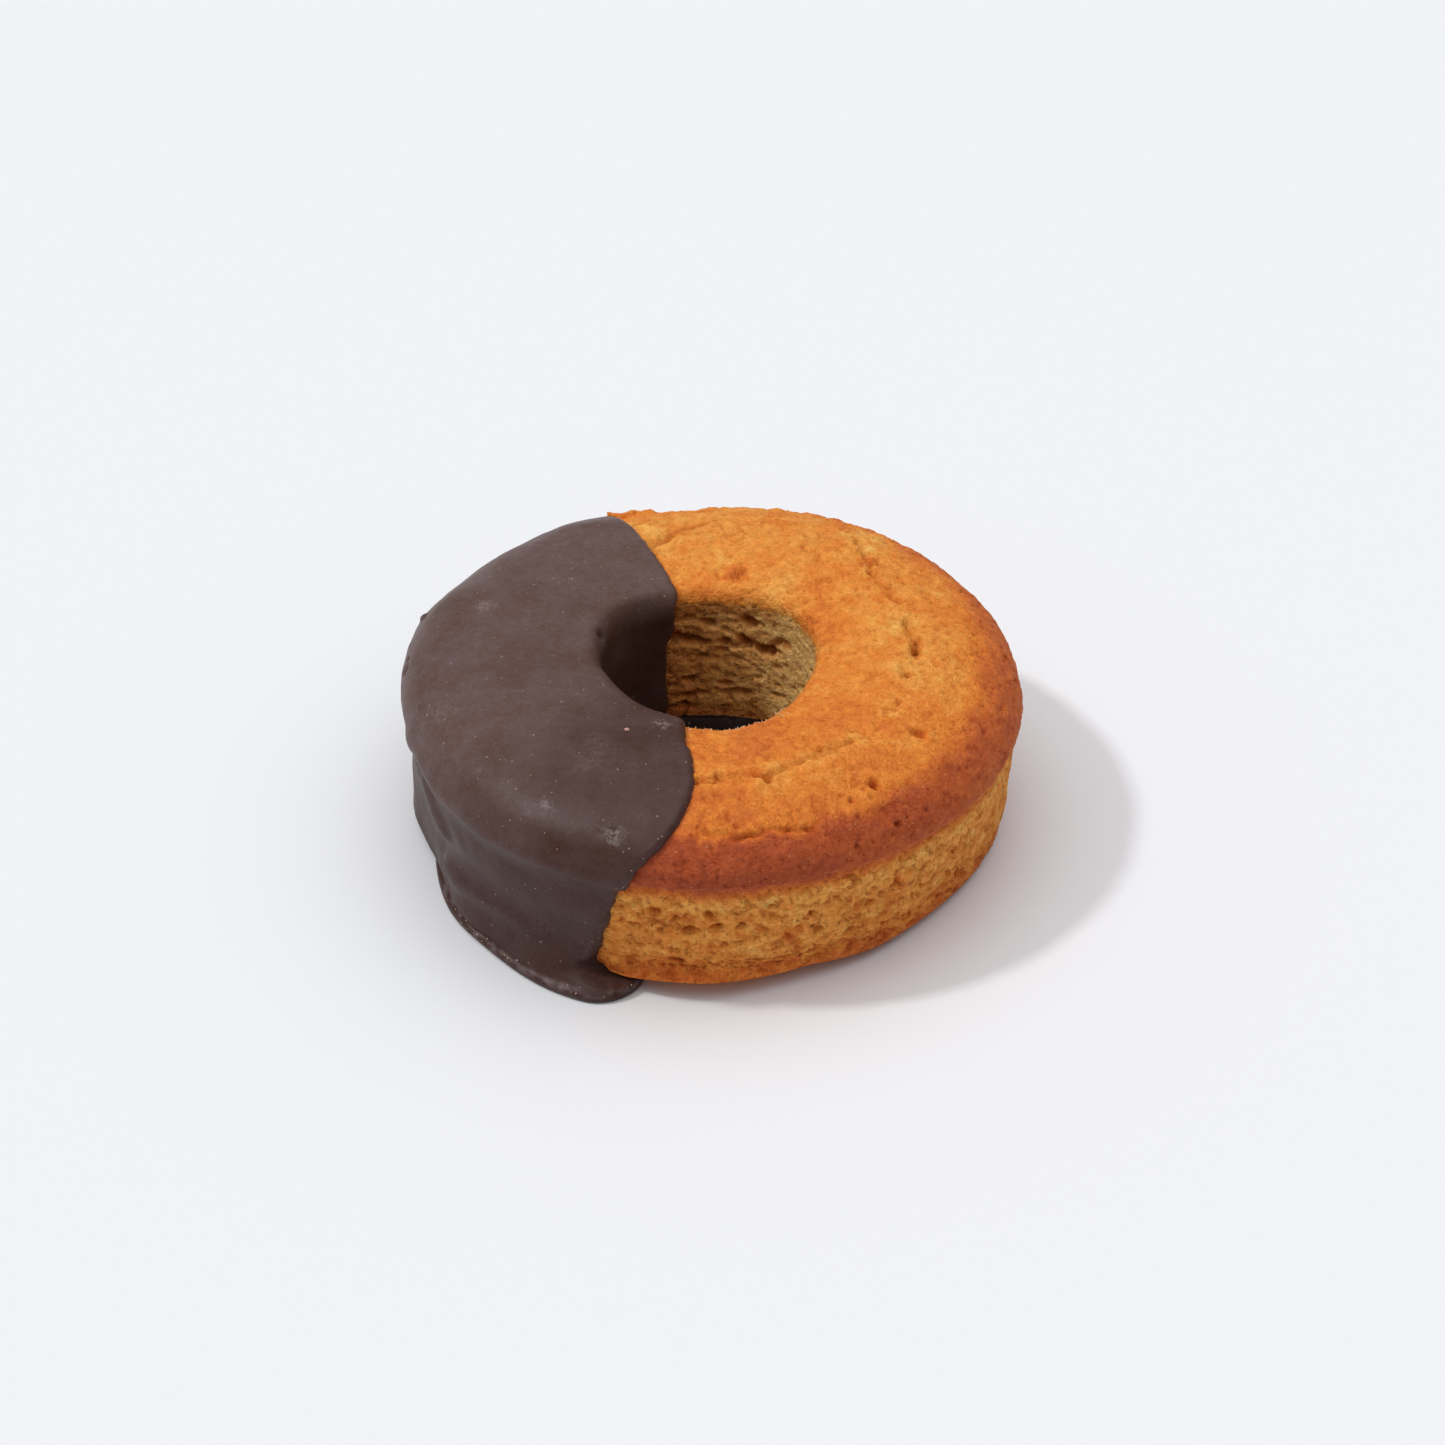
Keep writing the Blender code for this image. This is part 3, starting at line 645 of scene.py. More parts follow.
def scatter_pores(depths, vertices, seed, sizes, azimuths, levels, bias, flatness, depth_share):
    """Presses seeded pores; the larger the bias, the rarer the large ones."""
    random = np.random.default_rng(seed)
    for count, smallest, largest in sizes:
        for _ in range(count):
            half_width = smallest * (largest / smallest) ** (random.random() ** bias)
            spot = (random.uniform(*azimuths), random.uniform(*levels))
            half_height = half_width * random.uniform(*flatness)
            depth = half_width * random.uniform(*depth_share)
            press_pore(depths, vertices, *spot, half_width, half_height, depth)


bend = noise(base, 1.1, 40) + 0.7 * noise(base, 0.55, 42)
hollow = np.zeros(len(base))
side_vertices = np.flatnonzero(on_side & (inside_bare > -2.0))
for pore in SIDE_PORES:
    press_pore(hollow, side_vertices, *pore)
scatter_pores(hollow, side_vertices, 41, SIDE_SCATTER, (BARE_FROM, BARE_TO), SIDE_LEVELS, 1.6,
              (0.55, 1.05), (0.6, 1.1))
for index, (size, start, end, depth) in enumerate(SIDE_FOAM):
    hollow = np.maximum(hollow, depth * smooth_step(start, end, noise(wandering, size, 47 + index)))
strands = noises(base, (0.10, 0.6, 43), (0.12, 1.7, 44)) - 0.10 * np.abs(noise(base, 2.6, 45))
lumps = 0.16 * noise(base, 5.0, 46)
side_relief = strands + lumps - hollow
print("side pores:", len(SIDE_PORES) + sum(count for count, _, _ in SIDE_SCATTER))

# %% [markdown]
# ## Torn layers in the hole
# The hole's wall is torn crumb, and it tore in layers, so its holes are wide and low and some
# run together into long fissures. The same press makes them, only flatter. Fissures follow
# paths given by azimuth and height, as the cracks do. Between them, noise that is stretched
# sideways stands for the strands of crumb.

# %% Torn layers
WALL_STRETCH = 2.4  # strands are this much longer than high
# Paths over the wall: (depth, width, points as azimuth and height)
FISSURES = (
    (1.5, 0.42, ((111, 20.8), (97, 20.7), (90, 20.5), (82, 20.1), (74, 21.3), (66, 21.1))),
    (2.2, 0.50, ((111, 18.4), (105, 17.9), (95, 17.6), (89, 17.2), (81, 17.6), (73, 18.1), (62, 17.3))),
    (1.3, 0.40, ((57, 17.9), (50, 19.3), (45, 19.0))),
    (1.0, 0.35, ((104, 15.2), (92, 14.9), (86, 15.3), (72, 15.0), (60, 13.2))),
    (1.1, 0.38, ((112, 9.2), (100, 9.6), (90, 9.1), (72, 9.8), (60, 10.4), (48, 10.6))),
    (0.9, 0.35, ((40, 13.0), (28, 14.6), (15, 13.6), (-2, 14.8))),
    (1.0, 0.35, ((20, 18.2), (5, 18.8), (-15, 17.6), (-30, 18.4))),
    (1.0, 0.35, ((-20, 11.2), (-45, 12.4), (-70, 11.0), (-95, 12.6))),
    (0.9, 0.35, ((-35, 19.4), (-60, 18.2), (-90, 19.0))),
)
WALL_FOAM = ((0.5, 0.10, 0.55, 0.24), (0.9, 0.25, 0.70, 0.42), (1.8, 0.40, 0.80, 0.45))
WALL_SMOOTHER = 0.6  # the lower right of the wall is closer crumb than the upper left
WALL_PORES = (
    (57.5, 17.3, 2.0, 1.1, 2.8), (104.0, 11.7, 1.3, 0.6, 1.5), (82.0, 11.1, 1.2, 0.5, 1.2),
    (51.5, 15.1, 1.0, 0.6, 1.1), (46.0, 15.9, 0.8, 0.5, 1.0), (35.0, 16.5, 0.8, 0.5, 1.0),
    (21.0, 18.4, 0.7, 0.5, 0.9), (39.6, 12.9, 0.9, 0.5, 1.0), (48.6, 10.7, 1.0, 0.5, 1.0),
    (96.0, 15.2, 1.1, 0.4, 1.0), (72.0, 9.9, 1.2, 0.4, 1.0), (64.0, 12.8, 1.0, 0.4, 0.9),
)
WALL_SCATTER = ((110, 0.5, 1.3), (420, 0.2, 0.5))


def flat_map(azimuths, heights, radius):
    """A round wall unrolled into a flat map, in millimetres."""
    return np.stack([np.radians(azimuths) * radius, heights, 0 * heights], axis=1)


def on_map(path, radius):
    return flat_map(*np.array(path, float).T, radius)


wall_hollow = np.zeros(len(base))
drifting = flat_map(around, level + 0.45 * noise(base, 1.6, 50), HOLE_RADIUS)
ragged = 0.35 * noise(base, 0.8, 51)
strength = np.clip(0.45 + 1.5 * noise(base, 2.0, 52), 0.0, 1.1)
for depth, width, path in FISSURES:
    gap = distance_to_path(drifting, on_map(path, HOLE_RADIUS))
    wall_hollow = np.maximum(wall_hollow, depth * strength * smooth_step(1.9, 0.5, gap / width + ragged))
wall_vertices = np.flatnonzero(on_wall & (level > 5.0) & (inside_bare > -2.0))
for pore in WALL_PORES:
    press_pore(wall_hollow, wall_vertices, *pore)
scatter_pores(wall_hollow, wall_vertices, 53, WALL_SCATTER, (-108.0, 118.0), (6.0, 22.0), 1.4,
              (0.3, 0.5), (0.7, 1.1))
layered = base / np.array([WALL_STRETCH, WALL_STRETCH, 1.0])
for index, (size, start, end, depth) in enumerate(WALL_FOAM):
    foam = smooth_step(start, end, noise(layered, size, 58 + index) + 0.25 * noise(base, 0.6, 62))
    wall_hollow = np.maximum(wall_hollow, depth * foam)
wall_strands = noises(layered, (0.07, 0.5, 54), (0.10, 1.1, 55))
wall_strands -= 0.08 * np.abs(noise(layered, 0.8, 56))
close_crumb = WALL_SMOOTHER * smooth_step(100.0, 60.0, around) * smooth_step(18.0, 13.0, level)
close_crumb = np.maximum(close_crumb, WALL_SMOOTHER * smooth_step(62.0, 52.0, around))
wall_relief = 0.08 * noise(base, 0.55, 57) + (wall_strands - wall_hollow) * (1 - close_crumb)
print("deepest tear:", round(float(-wall_relief.min()), 2), "mm")

# %% [markdown]
# ## One surface from three reliefs
# Crust, side and hole wall each have their own relief. The masks mix them, and the points move
# along the surface's own normals, except on the front heel, where they move straight out. The
# front heel stands a little clear of the table. One flake of crust at the back is torn loose
# and curls over the chocolate, so a few points there move sideways as well.

# %% Shape the cake
FLAKE = ((99, 38.2), (105, 37.8), (110.6, 37.6))  # azimuths and distances from the axis
FLAKE_WIDTH, FLAKE_TAPER = 2.1, 0.6
FLAKE_RISE, FLAKE_TIP_RISE = 1.1, 1.0
FLAKE_SHIFT = 1.2
HEEL_FADE, WALL_FADE = (0.2, 1.6), (4.5, 6.5)  # heights over which the relief fades in
# The bare heel next to the dip line stands on chocolate, so its underside rises there
HEEL_RISE = (256.0, 247.8, 3.5)  # azimuths where the rise starts and ends, height reached
HEEL_SPAN = (-12.0, 120.0)  # degrees from the rise's end over which the front heel is shaped
# The front heel stands clear of the table: azimuth, gap under it, how square it is (0 is round)
HEEL_STAND = (
    (-113, 1.6, 0.9), (-106, 1.5, 1.15), (-101, 2.0, 1.3), (-90, 2.4, 1.4), (-71, 2.1, 0.75),
    (-57, 1.2, 0.8), (-35, 0.9, 0.6), (-15, 0.5, 0.45), (5, 0.0, 0.0),
)


def by_azimuth(table):
    """The columns of a table, each read off at every vertex's azimuth."""
    columns = np.array(table).T
    return [np.interp(around, columns[0], column) for column in columns[1:]]


wall_share = np.where(outside, 0.0, 1.0)
crumb_relief = wall_share * wall_relief + (1 - wall_share) * side_relief
relief = crust * crust_relief + (1 - crust) * crumb_relief
standing = np.where(outside, smooth_step(*HEEL_FADE, height), smooth_step(*WALL_FADE, height))
relief *= bare * standing
start, end, rise = HEEL_RISE
from_end = turn(around, end)
under = (reach > INNER_RADIUS) & (from_end > HEEL_SPAN[0]) & (from_end < HEEL_SPAN[1])
stand_gap, stand_square = by_azimuth(HEEL_STAND)
square = stand_square * zone_mask("heel") * under
upright = np.clip(square, 0.0, 1.0)[:, None]
outwards = polar(around, 1.0, 0.0)
shaped = base + (normals * (1 - upright) + outwards * upright) * relief[:, None]
flake_gap = distance_to_path(base, np.array([on_top(*spot) for spot in FLAKE]))
flake_width = FLAKE_WIDTH * (1 - FLAKE_TAPER * smooth_step(105.0, 111.0, around))
flake = smooth_step(1.0, 0.35, flake_gap / flake_width + 0.18 * bend)
flake_rise = FLAKE_RISE * smooth_step(98.0, 105.0, around)
flake_rise = flake_rise + FLAKE_TIP_RISE * smooth_step(106.0, 110.5, around)
shaped[:, 2] += flake * flake_rise * (1 + 0.3 * noise(base, 1.5, 58))
sideways = polar(FLAKE[-1][0] + 90.0, 1.0, 0.0)
shaped += sideways * (flake * smooth_step(108.0, 113.5, around) * FLAKE_SHIFT)[:, None]
shaped[:, 2] = np.maximum(shaped[:, 2], 0.0) + stand_gap * smooth_step(6.5, 1.5, level) * under
underside = rise * smooth_step(start - end, 0.0, from_end)
shaped[:, 2] = np.where(under, np.maximum(shaped[:, 2], underside), shaped[:, 2])
shaped += outwards * (square * (HEEL_RADIUS - radius))[:, None]
move_vertices(cake_mesh, shaped)
print("relief from", round(float(relief.min()), 2), "to", round(float(relief.max()), 2), "mm")

# %% [markdown]
# ## How brown each place is
# Oven heat browns what stands out: a deep band round the rim, wide at the right and narrow at
# the front, patches on the top, and the heel where the ring stood on hot metal. Cracks opened
# late, so the crumb in and beside them stayed yellow. In the hole the number also holds painted
# shade and light: the wall is darker at the back left, where it lies in shade, and paler at the
# right, where the lamp falls on it. Browning is one number for each point, and the material
# turns it into a colour.

# %% Browning
# The rim's band by azimuth: where it begins (distance from the axis), strength, softness
RIM_BAND = (
    (-120, 37.4, 1.0, 1.0), (-90, 37.0, 1.0, 1.0), (-70, 36.3, 0.95, 1.2), (-51, 35.3, 0.9, 1.8),
    (-35, 34.2, 0.85, 2.6), (-19, 33.6, 0.8, 3.2), (0, 33.8, 0.65, 3.4), (25, 34.6, 0.6, 3.0),
    (50, 35.4, 0.6, 2.6), (80, 37.4, 0.4, 1.8), (120, 37.6, 0.4, 1.6),
)
BLOTCHES = ((0.12, 7.0, 62), (0.10, 3.0, 63), (0.11, 1.1, 64))
CRUST_BROWN, SIDE_BROWN, WALL_BROWN = 0.36, 0.36, 0.10
DARK_SPOT = (-75.8, 8.4, 0.8)  # azimuth, height and size of one browner spot on the side


def add_masks(mesh, **masks):
    """Stores numbers from 0 to 1 for each vertex, which a material reads with an Attribute node."""
    for name, values in masks.items():
        stored = mesh.attributes.new(name, "FLOAT", "POINT").data
        stored.foreach_set("value", np.clip(values, 0.0, 1.0).astype(np.float32))


band_start, band_strength, band_softness = by_azimuth(RIM_BAND)
band_start += 0.7 * noise(base, 4.0, 60) + 0.45 * noise(base, 1.2, 61)
band = smooth_step(-0.6, 1.0, (reach - band_start) / band_softness) * band_strength
crust_brown = CRUST_BROWN + noises(base, *BLOTCHES) * (1 - 0.55 * band) + 0.48 * band - 0.16 * pale
crust_brown += 0.18 * blister
crust_brown += 0.07 * band * noise(base, 0.9, 59) - 0.05 * smooth_step(20.0, 60.0, around)
crust_brown += 0.15 * bell(turn(around, -95.0), 45.0) * (1 - 0.6 * band)
crust_brown += 0.10 * bell(inside_bare, 0.5)
side_brown = SIDE_BROWN + 0.14 * noise(base, 2.5, 65) + 0.14 * noise(base, 1.0, 66)
side_brown += 0.28 * smooth_step(7.0, 1.0, level + 2.6 * noise(base, 2.6, 67))
side_brown += 0.26 * bell(height - 16.4 - 0.6 * fray, 0.9) - 0.12 * bell(height - 14.6, 1.1)
spot_gap = np.hypot(turn(around, DARK_SPOT[0]) * 0.67, level - DARK_SPOT[1])
side_brown += 0.45 * bell(spot_gap, DARK_SPOT[2])
wall_brown = WALL_BROWN + 0.08 * noise(layered, 1.4, 68) + 0.07 * noise(base, 1.0, 69)
# Painted shade and light: the hole wall is darker towards the back left, where it lies in shade, and paler at
# the right, where the lamp falls on it
wall_brown += 0.26 * smooth_step(72.0, 110.0, around) + 0.20 * smooth_step(9.0, 6.5, level)
wall_brown -= 0.14 * smooth_step(65.0, 40.0, around) - 0.07 * bell(around - 72.0, 12.0)
wall_brown += 0.12 * bell(height - CRUST_LINE_HOLE + 0.9, 0.6)
browning = crust * crust_brown + (1 - crust) * np.where(outside, side_brown, wall_brown)
# Painted shade: how deep a pore, tear or crack lies, which darkens its colour
sunk = np.where(outside, hollow / 0.8, wall_hollow / 1.6) * (1 - crust) + crack_shade * crust
add_masks(cake_mesh, crust=crust, browning=browning, sunk=sunk, hole_wall=wall_share * (1 - crust))
print("browning from", round(float(browning.min()), 2), "to", round(float(browning.max()), 2))

# %% [markdown]
# ## Shared effects
# Cake, chocolate and crumbs all need fine grain, a mottled colour and tiny light specks. Each
# effect is a node group with its own inputs, built once. A group is to a material what a
# function is to a script: the inside is written once, and each material sets its own values.
# Sizes are in millimetres, so they can be compared with the mesh.

# %% Group helpers
METRES_TO_MM = 1000.0


def blend_colours(tree, share, first, second, mode="MIX"):
    """One Mix node's colour."""
    return add_node(tree, "ShaderNodeMix", {0: share, 6: first, 7: second}, data_type="RGBA",
                    blend_type=mode).outputs[2]


def ramp(tree, value, stops):
    """A Color Ramp whose stops are (position, colour)."""
    made = add_node(tree, "ShaderNodeValToRGB", {"Fac": value})
    elements = made.color_ramp.elements
    while len(elements) < len(stops):
        elements.new(0.5)
    for element, (position, colour) in zip(elements, stops):
        element.position = position
        element.color = (*colour, 1.0)
    return made.outputs["Color"]


def new_group(name, output, kind, size_name, **inputs):
    """An empty shader group with its sockets. Gives the group, its inputs, its output, the
    object's coordinates and a texture scale for the input that holds a size in millimetres."""
    group = bpy.data.node_groups.new(name, "ShaderNodeTree")
    for label, value in inputs.items():
        socket = "NodeSocketColor" if isinstance(value, tuple) else "NodeSocketFloat"
        group.interface.new_socket(label, in_out="INPUT", socket_type=socket).default_value = value
    group.interface.new_socket(output, in_out="OUTPUT", socket_type=kind)
    given = group.nodes.new("NodeGroupInput").outputs
    result = group.nodes.new("NodeGroupOutput").inputs[0]
    where = add_node(group, "ShaderNodeTexCoord").outputs["Object"]
    return group, given, result, where, calculate(group, "DIVIDE", METRES_TO_MM, given[size_name])


def noise_node(tree, where, scale, detail):
    return add_node(tree, "ShaderNodeTexNoise", {"Vector": where, "Scale": scale, "Detail": detail})


def place_group(tree, group, **inputs):
    """Places a group in a material with its own values, and gives its one result."""
    return add_node(tree, "ShaderNodeGroup", inputs, node_tree=group).outputs[0]


def attribute(tree, name):
    return add_node(tree, "ShaderNodeAttribute", attribute_name=name).outputs["Fac"]


print("group helpers ready")

# %% [markdown]
# The grain group adds two noises, one a third of the other's size, and gives a height for a
# Bump node. The mottle group multiplies a colour by noise round 1, more strongly in green and
# blue, so that darker places also turn redder, as baked ones do. The speck group scatters
# dots: ragged Voronoi cells, of which only a chosen share keeps its dot.

# %% Shared node groups
MOTTLE_POWERS = {"Red": 0.7, "Green": 1.3, "Blue": 1.9}

tree, given, result, where, scale = new_group(
    "grain", "Height", "NodeSocketFloat", "Size", Size=0.4, Finer=0.5)
grain_group = tree
coarse = noise_node(tree, where, scale, 2.0)
finer = noise_node(tree, where, times(tree, scale, 3.0), 1.0)
finer_height = times(tree, finer.outputs["Fac"], given["Finer"])
plug(tree, result, calculate(tree, "ADD", coarse.outputs["Fac"], finer_height))

tree, given, result, where, scale = new_group(
    "mottle", "Color", "NodeSocketColor", "Size", Color=(0.5, 0.5, 0.5, 1.0), Size=1.5, Amount=0.2)
mottle_group = tree
centred = calculate(tree, "SUBTRACT", noise_node(tree, where, scale, 4.0).outputs["Fac"], 0.5)
swing = times(tree, centred, 4.0, given["Amount"])
factor = calculate(tree, "MAXIMUM", calculate(tree, "ADD", swing, 1.0), 0.1)
tint = add_node(tree, "ShaderNodeCombineColor", {
    channel: calculate(tree, "POWER", factor, power) for channel, power in MOTTLE_POWERS.items()})
plug(tree, result, blend_colours(tree, 1.0, given["Color"], tint.outputs["Color"], "MULTIPLY"))

tree, given, result, where, scale = new_group(
    "specks", "Mask", "NodeSocketFloat", "Spacing",
    Spacing=1.0, Share=0.3, Radius=0.12, Softness=0.03, Ragged=0.3)
speck_group = tree
wander = noise_node(tree, where, times(tree, scale, 2.5), 1.0)
centred = add_node(tree, "ShaderNodeVectorMath",
                   {0: wander.outputs["Color"], 1: (0.5, 0.5, 0.5)}, operation="SUBTRACT")
wander_size = calculate(tree, "DIVIDE", given["Ragged"], scale)
offset = add_node(tree, "ShaderNodeVectorMath",
                  {0: centred.outputs[0], "Scale": wander_size}, operation="SCALE")
bent = add_node(tree, "ShaderNodeVectorMath", {0: where, 1: offset.outputs[0]}, operation="ADD")
cells = add_node(tree, "ShaderNodeTexVoronoi", {"Vector": bent.outputs[0], "Scale": scale})
chance = add_node(tree, "ShaderNodeSeparateColor", {"Color": cells.outputs["Color"]})
kept = calculate(tree, "LESS_THAN", chance.outputs["Red"], given["Share"])
grown = times(tree, given["Radius"], chance.outputs["Green"])
margin = calculate(tree, "SUBTRACT", grown, cells.outputs["Distance"])
dot = calculate(tree, "DIVIDE", margin, given["Softness"], clamp=True)
plug(tree, result, times(tree, kept, dot))


def mottled(tree, colour, *sizes):
    """The colour mottled at several sizes, each given as (size in millimetres, amount)."""
    for size, amount in sizes:
        colour = place_group(tree, mottle_group, Color=colour, Size=size, Amount=amount)
    return colour


def finish_shader(tree, shader, colour, height, strength, distance):
    """Links the colour, and a Bump node with the height, to the shader."""
    bump = add_node(tree, "ShaderNodeBump",
                    {"Height": height, "Strength": strength, "Distance": distance})
    plug(tree, shader.inputs["Base Color"], colour)
    plug(tree, shader.inputs["Normal"], bump.outputs["Normal"])


print("groups:", [group.name for group in bpy.data.node_groups])

# %% [markdown]
# ## Cake material
# One material covers the whole cake, because crust and crumb run into each other. Browning
# picks a colour from one of three ramps: crust from yellow through orange to red-brown, side
# crumb, and the paler torn crumb of the hole. Hollows, cracks and pits get a darker, warmer
# tint, which is painted shade, as light bounces about in them. Pale flecks on the crust are
# partly grains and partly painted glints. A little subsurface light softens the crumb.

# %% Cake material
CRUST_RAMP = (
    (0.00, (0.84, 0.46, 0.11)), (0.22, (0.83, 0.330, 0.058)), (0.42, (0.78, 0.230, 0.031)),
    (0.62, (0.64, 0.150, 0.026)), (0.85, (0.46, 0.085, 0.024)), (1.00, (0.31, 0.053, 0.018)),
)
SIDE_RAMP = (
    (0.00, (0.93, 0.54, 0.150)), (0.25, (0.90, 0.385, 0.078)), (0.45, (0.82, 0.268, 0.045)),
    (0.70, (0.68, 0.165, 0.027)), (1.00, (0.34, 0.064, 0.015)),
)
WALL_RAMP = (
    (0.00, (0.90, 0.53, 0.18)), (0.25, (0.66, 0.29, 0.076)), (0.50, (0.42, 0.13, 0.028)),
    (1.00, (0.20, 0.05, 0.012)),
)
# Painted shade: a warm dark tint for pores, tears, cracks and pits
HOLLOW_TINT = (0.66, 0.42, 0.22, 1.0)
# Pale flecks on the crust: partly grains, partly painted glints
FLECK_TINT = (0.86, 0.44, 0.17, 1.0)
FLECK_STRENGTH = 0.22
CAKE_BUMP = 0.00027
PLAIN_CAKE = {"Specular IOR Level": 0.2, "Subsurface Weight": 0.12,
              "Subsurface Radius": (1.0, 0.5, 0.2), "Subsurface Scale": 0.0009}

cake_material, cake_shader, tree = plain_material("baked_cake", (0.66, 0.23, 0.05), 0.8)
brown, on_crust = attribute(tree, "browning"), attribute(tree, "crust")
crumb_colour = blend_colours(tree, attribute(tree, "hole_wall"), ramp(tree, brown, SIDE_RAMP),
                             ramp(tree, brown, WALL_RAMP))
colour = blend_colours(tree, on_crust, crumb_colour, ramp(tree, brown, CRUST_RAMP))
colour = mottled(tree, colour, (1.4, 0.15), (0.4, 0.19))
pits = place_group(tree, speck_group, Spacing=0.55, Share=0.55, Radius=0.55, Softness=0.25, Ragged=0.7)
bubbles = place_group(tree, speck_group, Spacing=1.25, Share=0.45, Radius=0.50, Softness=0.14, Ragged=0.9)
pitted = times(tree, pits, calculate(tree, "SUBTRACT", 1.0, times(tree, on_crust, 0.75)))
bubbly = times(tree, bubbles, calculate(tree, "SUBTRACT", 1.0, on_crust))
# Painted shade: sunk places, small pits and bubbles are darkened with the hollow tint
darker = calculate(tree, "MAXIMUM", attribute(tree, "sunk"), times(tree, pitted, 0.55))
darker = calculate(tree, "MAXIMUM", darker, times(tree, bubbly, 0.75))
colour = blend_colours(tree, darker, colour, blend_colours(tree, 1.0, colour, HOLLOW_TINT, "MULTIPLY"))
# Partly painted glints: pale dots on the crust, partly grains and partly sparkle
flecks = place_group(tree, speck_group, Spacing=0.60, Share=0.24, Radius=0.32)
colour = blend_colours(tree, times(tree, flecks, on_crust, FLECK_STRENGTH), colour, FLECK_TINT)
grain = place_group(tree, grain_group, Size=0.42, Finer=0.6)
rough_height = calculate(tree, "SUBTRACT", grain, times(tree, pitted, 0.8))
rough_height = calculate(tree, "SUBTRACT", rough_height, bubbly)
finish_shader(tree, cake_shader, colour, rough_height, 1.0, CAKE_BUMP)
gloss = calculate(tree, "SUBTRACT", 0.86, times(tree, on_crust, 0.14))
plug(tree, cake_shader.inputs["Roughness"], gloss)
for name, value in PLAIN_CAKE.items():
    cake_shader.inputs[name].default_value = value

cake = add_object("cake_crumb", cake_mesh)
cake_mesh.materials.append(cake_material)
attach(cake, "root")
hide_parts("cake")
print("cake dressed")

# %% [markdown]
# ## Chocolate: the coat's outer surface
# The coat lies on the cake at about a millimetre, thicker over the rim and low on the side,
# where it sagged. Solidify could thicken a copy of the cake, but the coat has its own form: a
# rounded end along the dip line, soft folds, and a foot that runs out on the table. So it is
# lofted: one grid for the outside and a coarse one inside the cake, closed at both ends.

# %% Coat thickness
COAT_TOP, COAT_HOLE, COAT_RIM = 1.0, 1.15, 1.45
COAT_SIDE, COAT_SIDE_FOOT = 1.1, 1.8
COAT_FRONT_FADE, COAT_BACK_FADE = (252.0, 225.0), (112.0, 130.0)
# Swells and hollows of the coat's side: azimuth, spread, height, half height, rise
COAT_SWELLS = (
    (202.0, 15.0, 8.4, 2.6, -0.95), (232.0, 16.0, 9.0, 3.0, -0.35), (216.0, 9.0, 4.9, 1.5, 0.95),
    (232.0, 10.0, 4.9, 1.2, 0.35), (150.0, 22.0, 8.5, 3.0, -0.50),
)
COAT_DIPS = ((5, 0.10), (9, 0.06))  # waves round the ring and their height
COAT_THICKER = ((121.0, 9.0, 0.35), (160.0, 9.0, 0.35))  # azimuth, spread and rise
COAT_ROWS = {"hole": 52, "lip": 9, "top": 22, "dome": 50, "edge": 0, "side": 36, "heel": 34,
             "base": 6, "hole heel": 2}


def coat_thickness(place, azimuth, height):
    """Distance of the chocolate's surface from the cake."""
    swells = sum(rise * bell(turn(azimuth, centre), spread) * bell(height - middle, half)
                 for centre, spread, middle, half, rise in COAT_SWELLS)
    dips = sum(rise * np.sin(np.radians(azimuth * count)) for count, rise in COAT_DIPS)
    dips = dips + sum(rise * bell(turn(azimuth, centre), spread) for centre, spread, rise in COAT_THICKER)
    left = smooth_step(*COAT_FRONT_FADE, azimuth) * smooth_step(*COAT_BACK_FADE, azimuth)
    to_rim = smooth_step(CROWN_HEIGHT, RIM_HEIGHT, height)
    rim = COAT_TOP + (COAT_RIM - COAT_TOP) * to_rim * left
    to_foot = smooth_step(CRUST_EDGE_HEIGHT, HEEL_ROUND, height)
    sag = COAT_SIDE + (COAT_SIDE_FOOT - COAT_SIDE) * to_foot * left
    in_hole = place <= ZONES.index("lip") + 1
    over_top = place <= ZONES.index("dome") + 1
    return np.where(in_hole, COAT_HOLE + 0.5 * dips, np.where(over_top, rim, sag) + swells + dips)


def soften(values, passes):
    """Averages each row with its neighbours, several times; the end rows stay."""
    for _ in range(passes):
        middle = (values[:-2] + 2.0 * values[1:-1] + values[2:]) / 4.0
        values = np.concatenate([values[:1], middle, values[-1:]])
    return values


def section_normals(rows):
    """Outward normals of an open section from its neighbouring rows."""
    along = np.gradient(rows[:, 1:], axis=0)
    normal = np.stack([-along[:, 1], along[:, 0]], axis=1)
    return normal / np.linalg.norm(normal, axis=1)[:, None]


print("coat at the rim:", COAT_RIM, "mm, at the foot:", COAT_SIDE_FOOT, "mm")

# %% [markdown]
# The foot is where the wet chocolate settled on the table: the side flares out, ends in a thin
# lip and tucks under. Its outline reaches furthest at the front left, where the run-off
# collected. A short spline through eight points, worked out for each azimuth, gives its
# profile, and both tips curl in under the cake.

# %% The foot
FOOT_START = 4.6  # height where the side turns out into the foot
FOOT_RADIUS = 38.4
# Where the outline departs from that radius: azimuth, spread and reach
FOOT_BULGES = ((247.0, 24.0, 3.5), (150.0, 20.0, 1.5), (190.0, 13.0, -1.9), (216.0, 9.0, 0.6))
FOOT_TIPS = ((248.0, 8.6, 5.7), (129.0, -12.5, 3.0))  # start of each turned-in end, length, fall
FOOT_LIP = ((-0.60, 1.46), (-0.16, 1.16), (0.0, 0.66), (-0.16, 0.20), (-0.5, 0.0))
FOOT_TURN = (0.14, 0.40)  # share of the profile over which a column swings to its place below
UNDER_HEEL = 35.2  # how far in the chocolate runs under the bare heel next to the dip line
HEEL_TIP, TIP_SPREAD = 1.3, 0.09  # degrees by which the bare heel's tip reaches into the chocolate


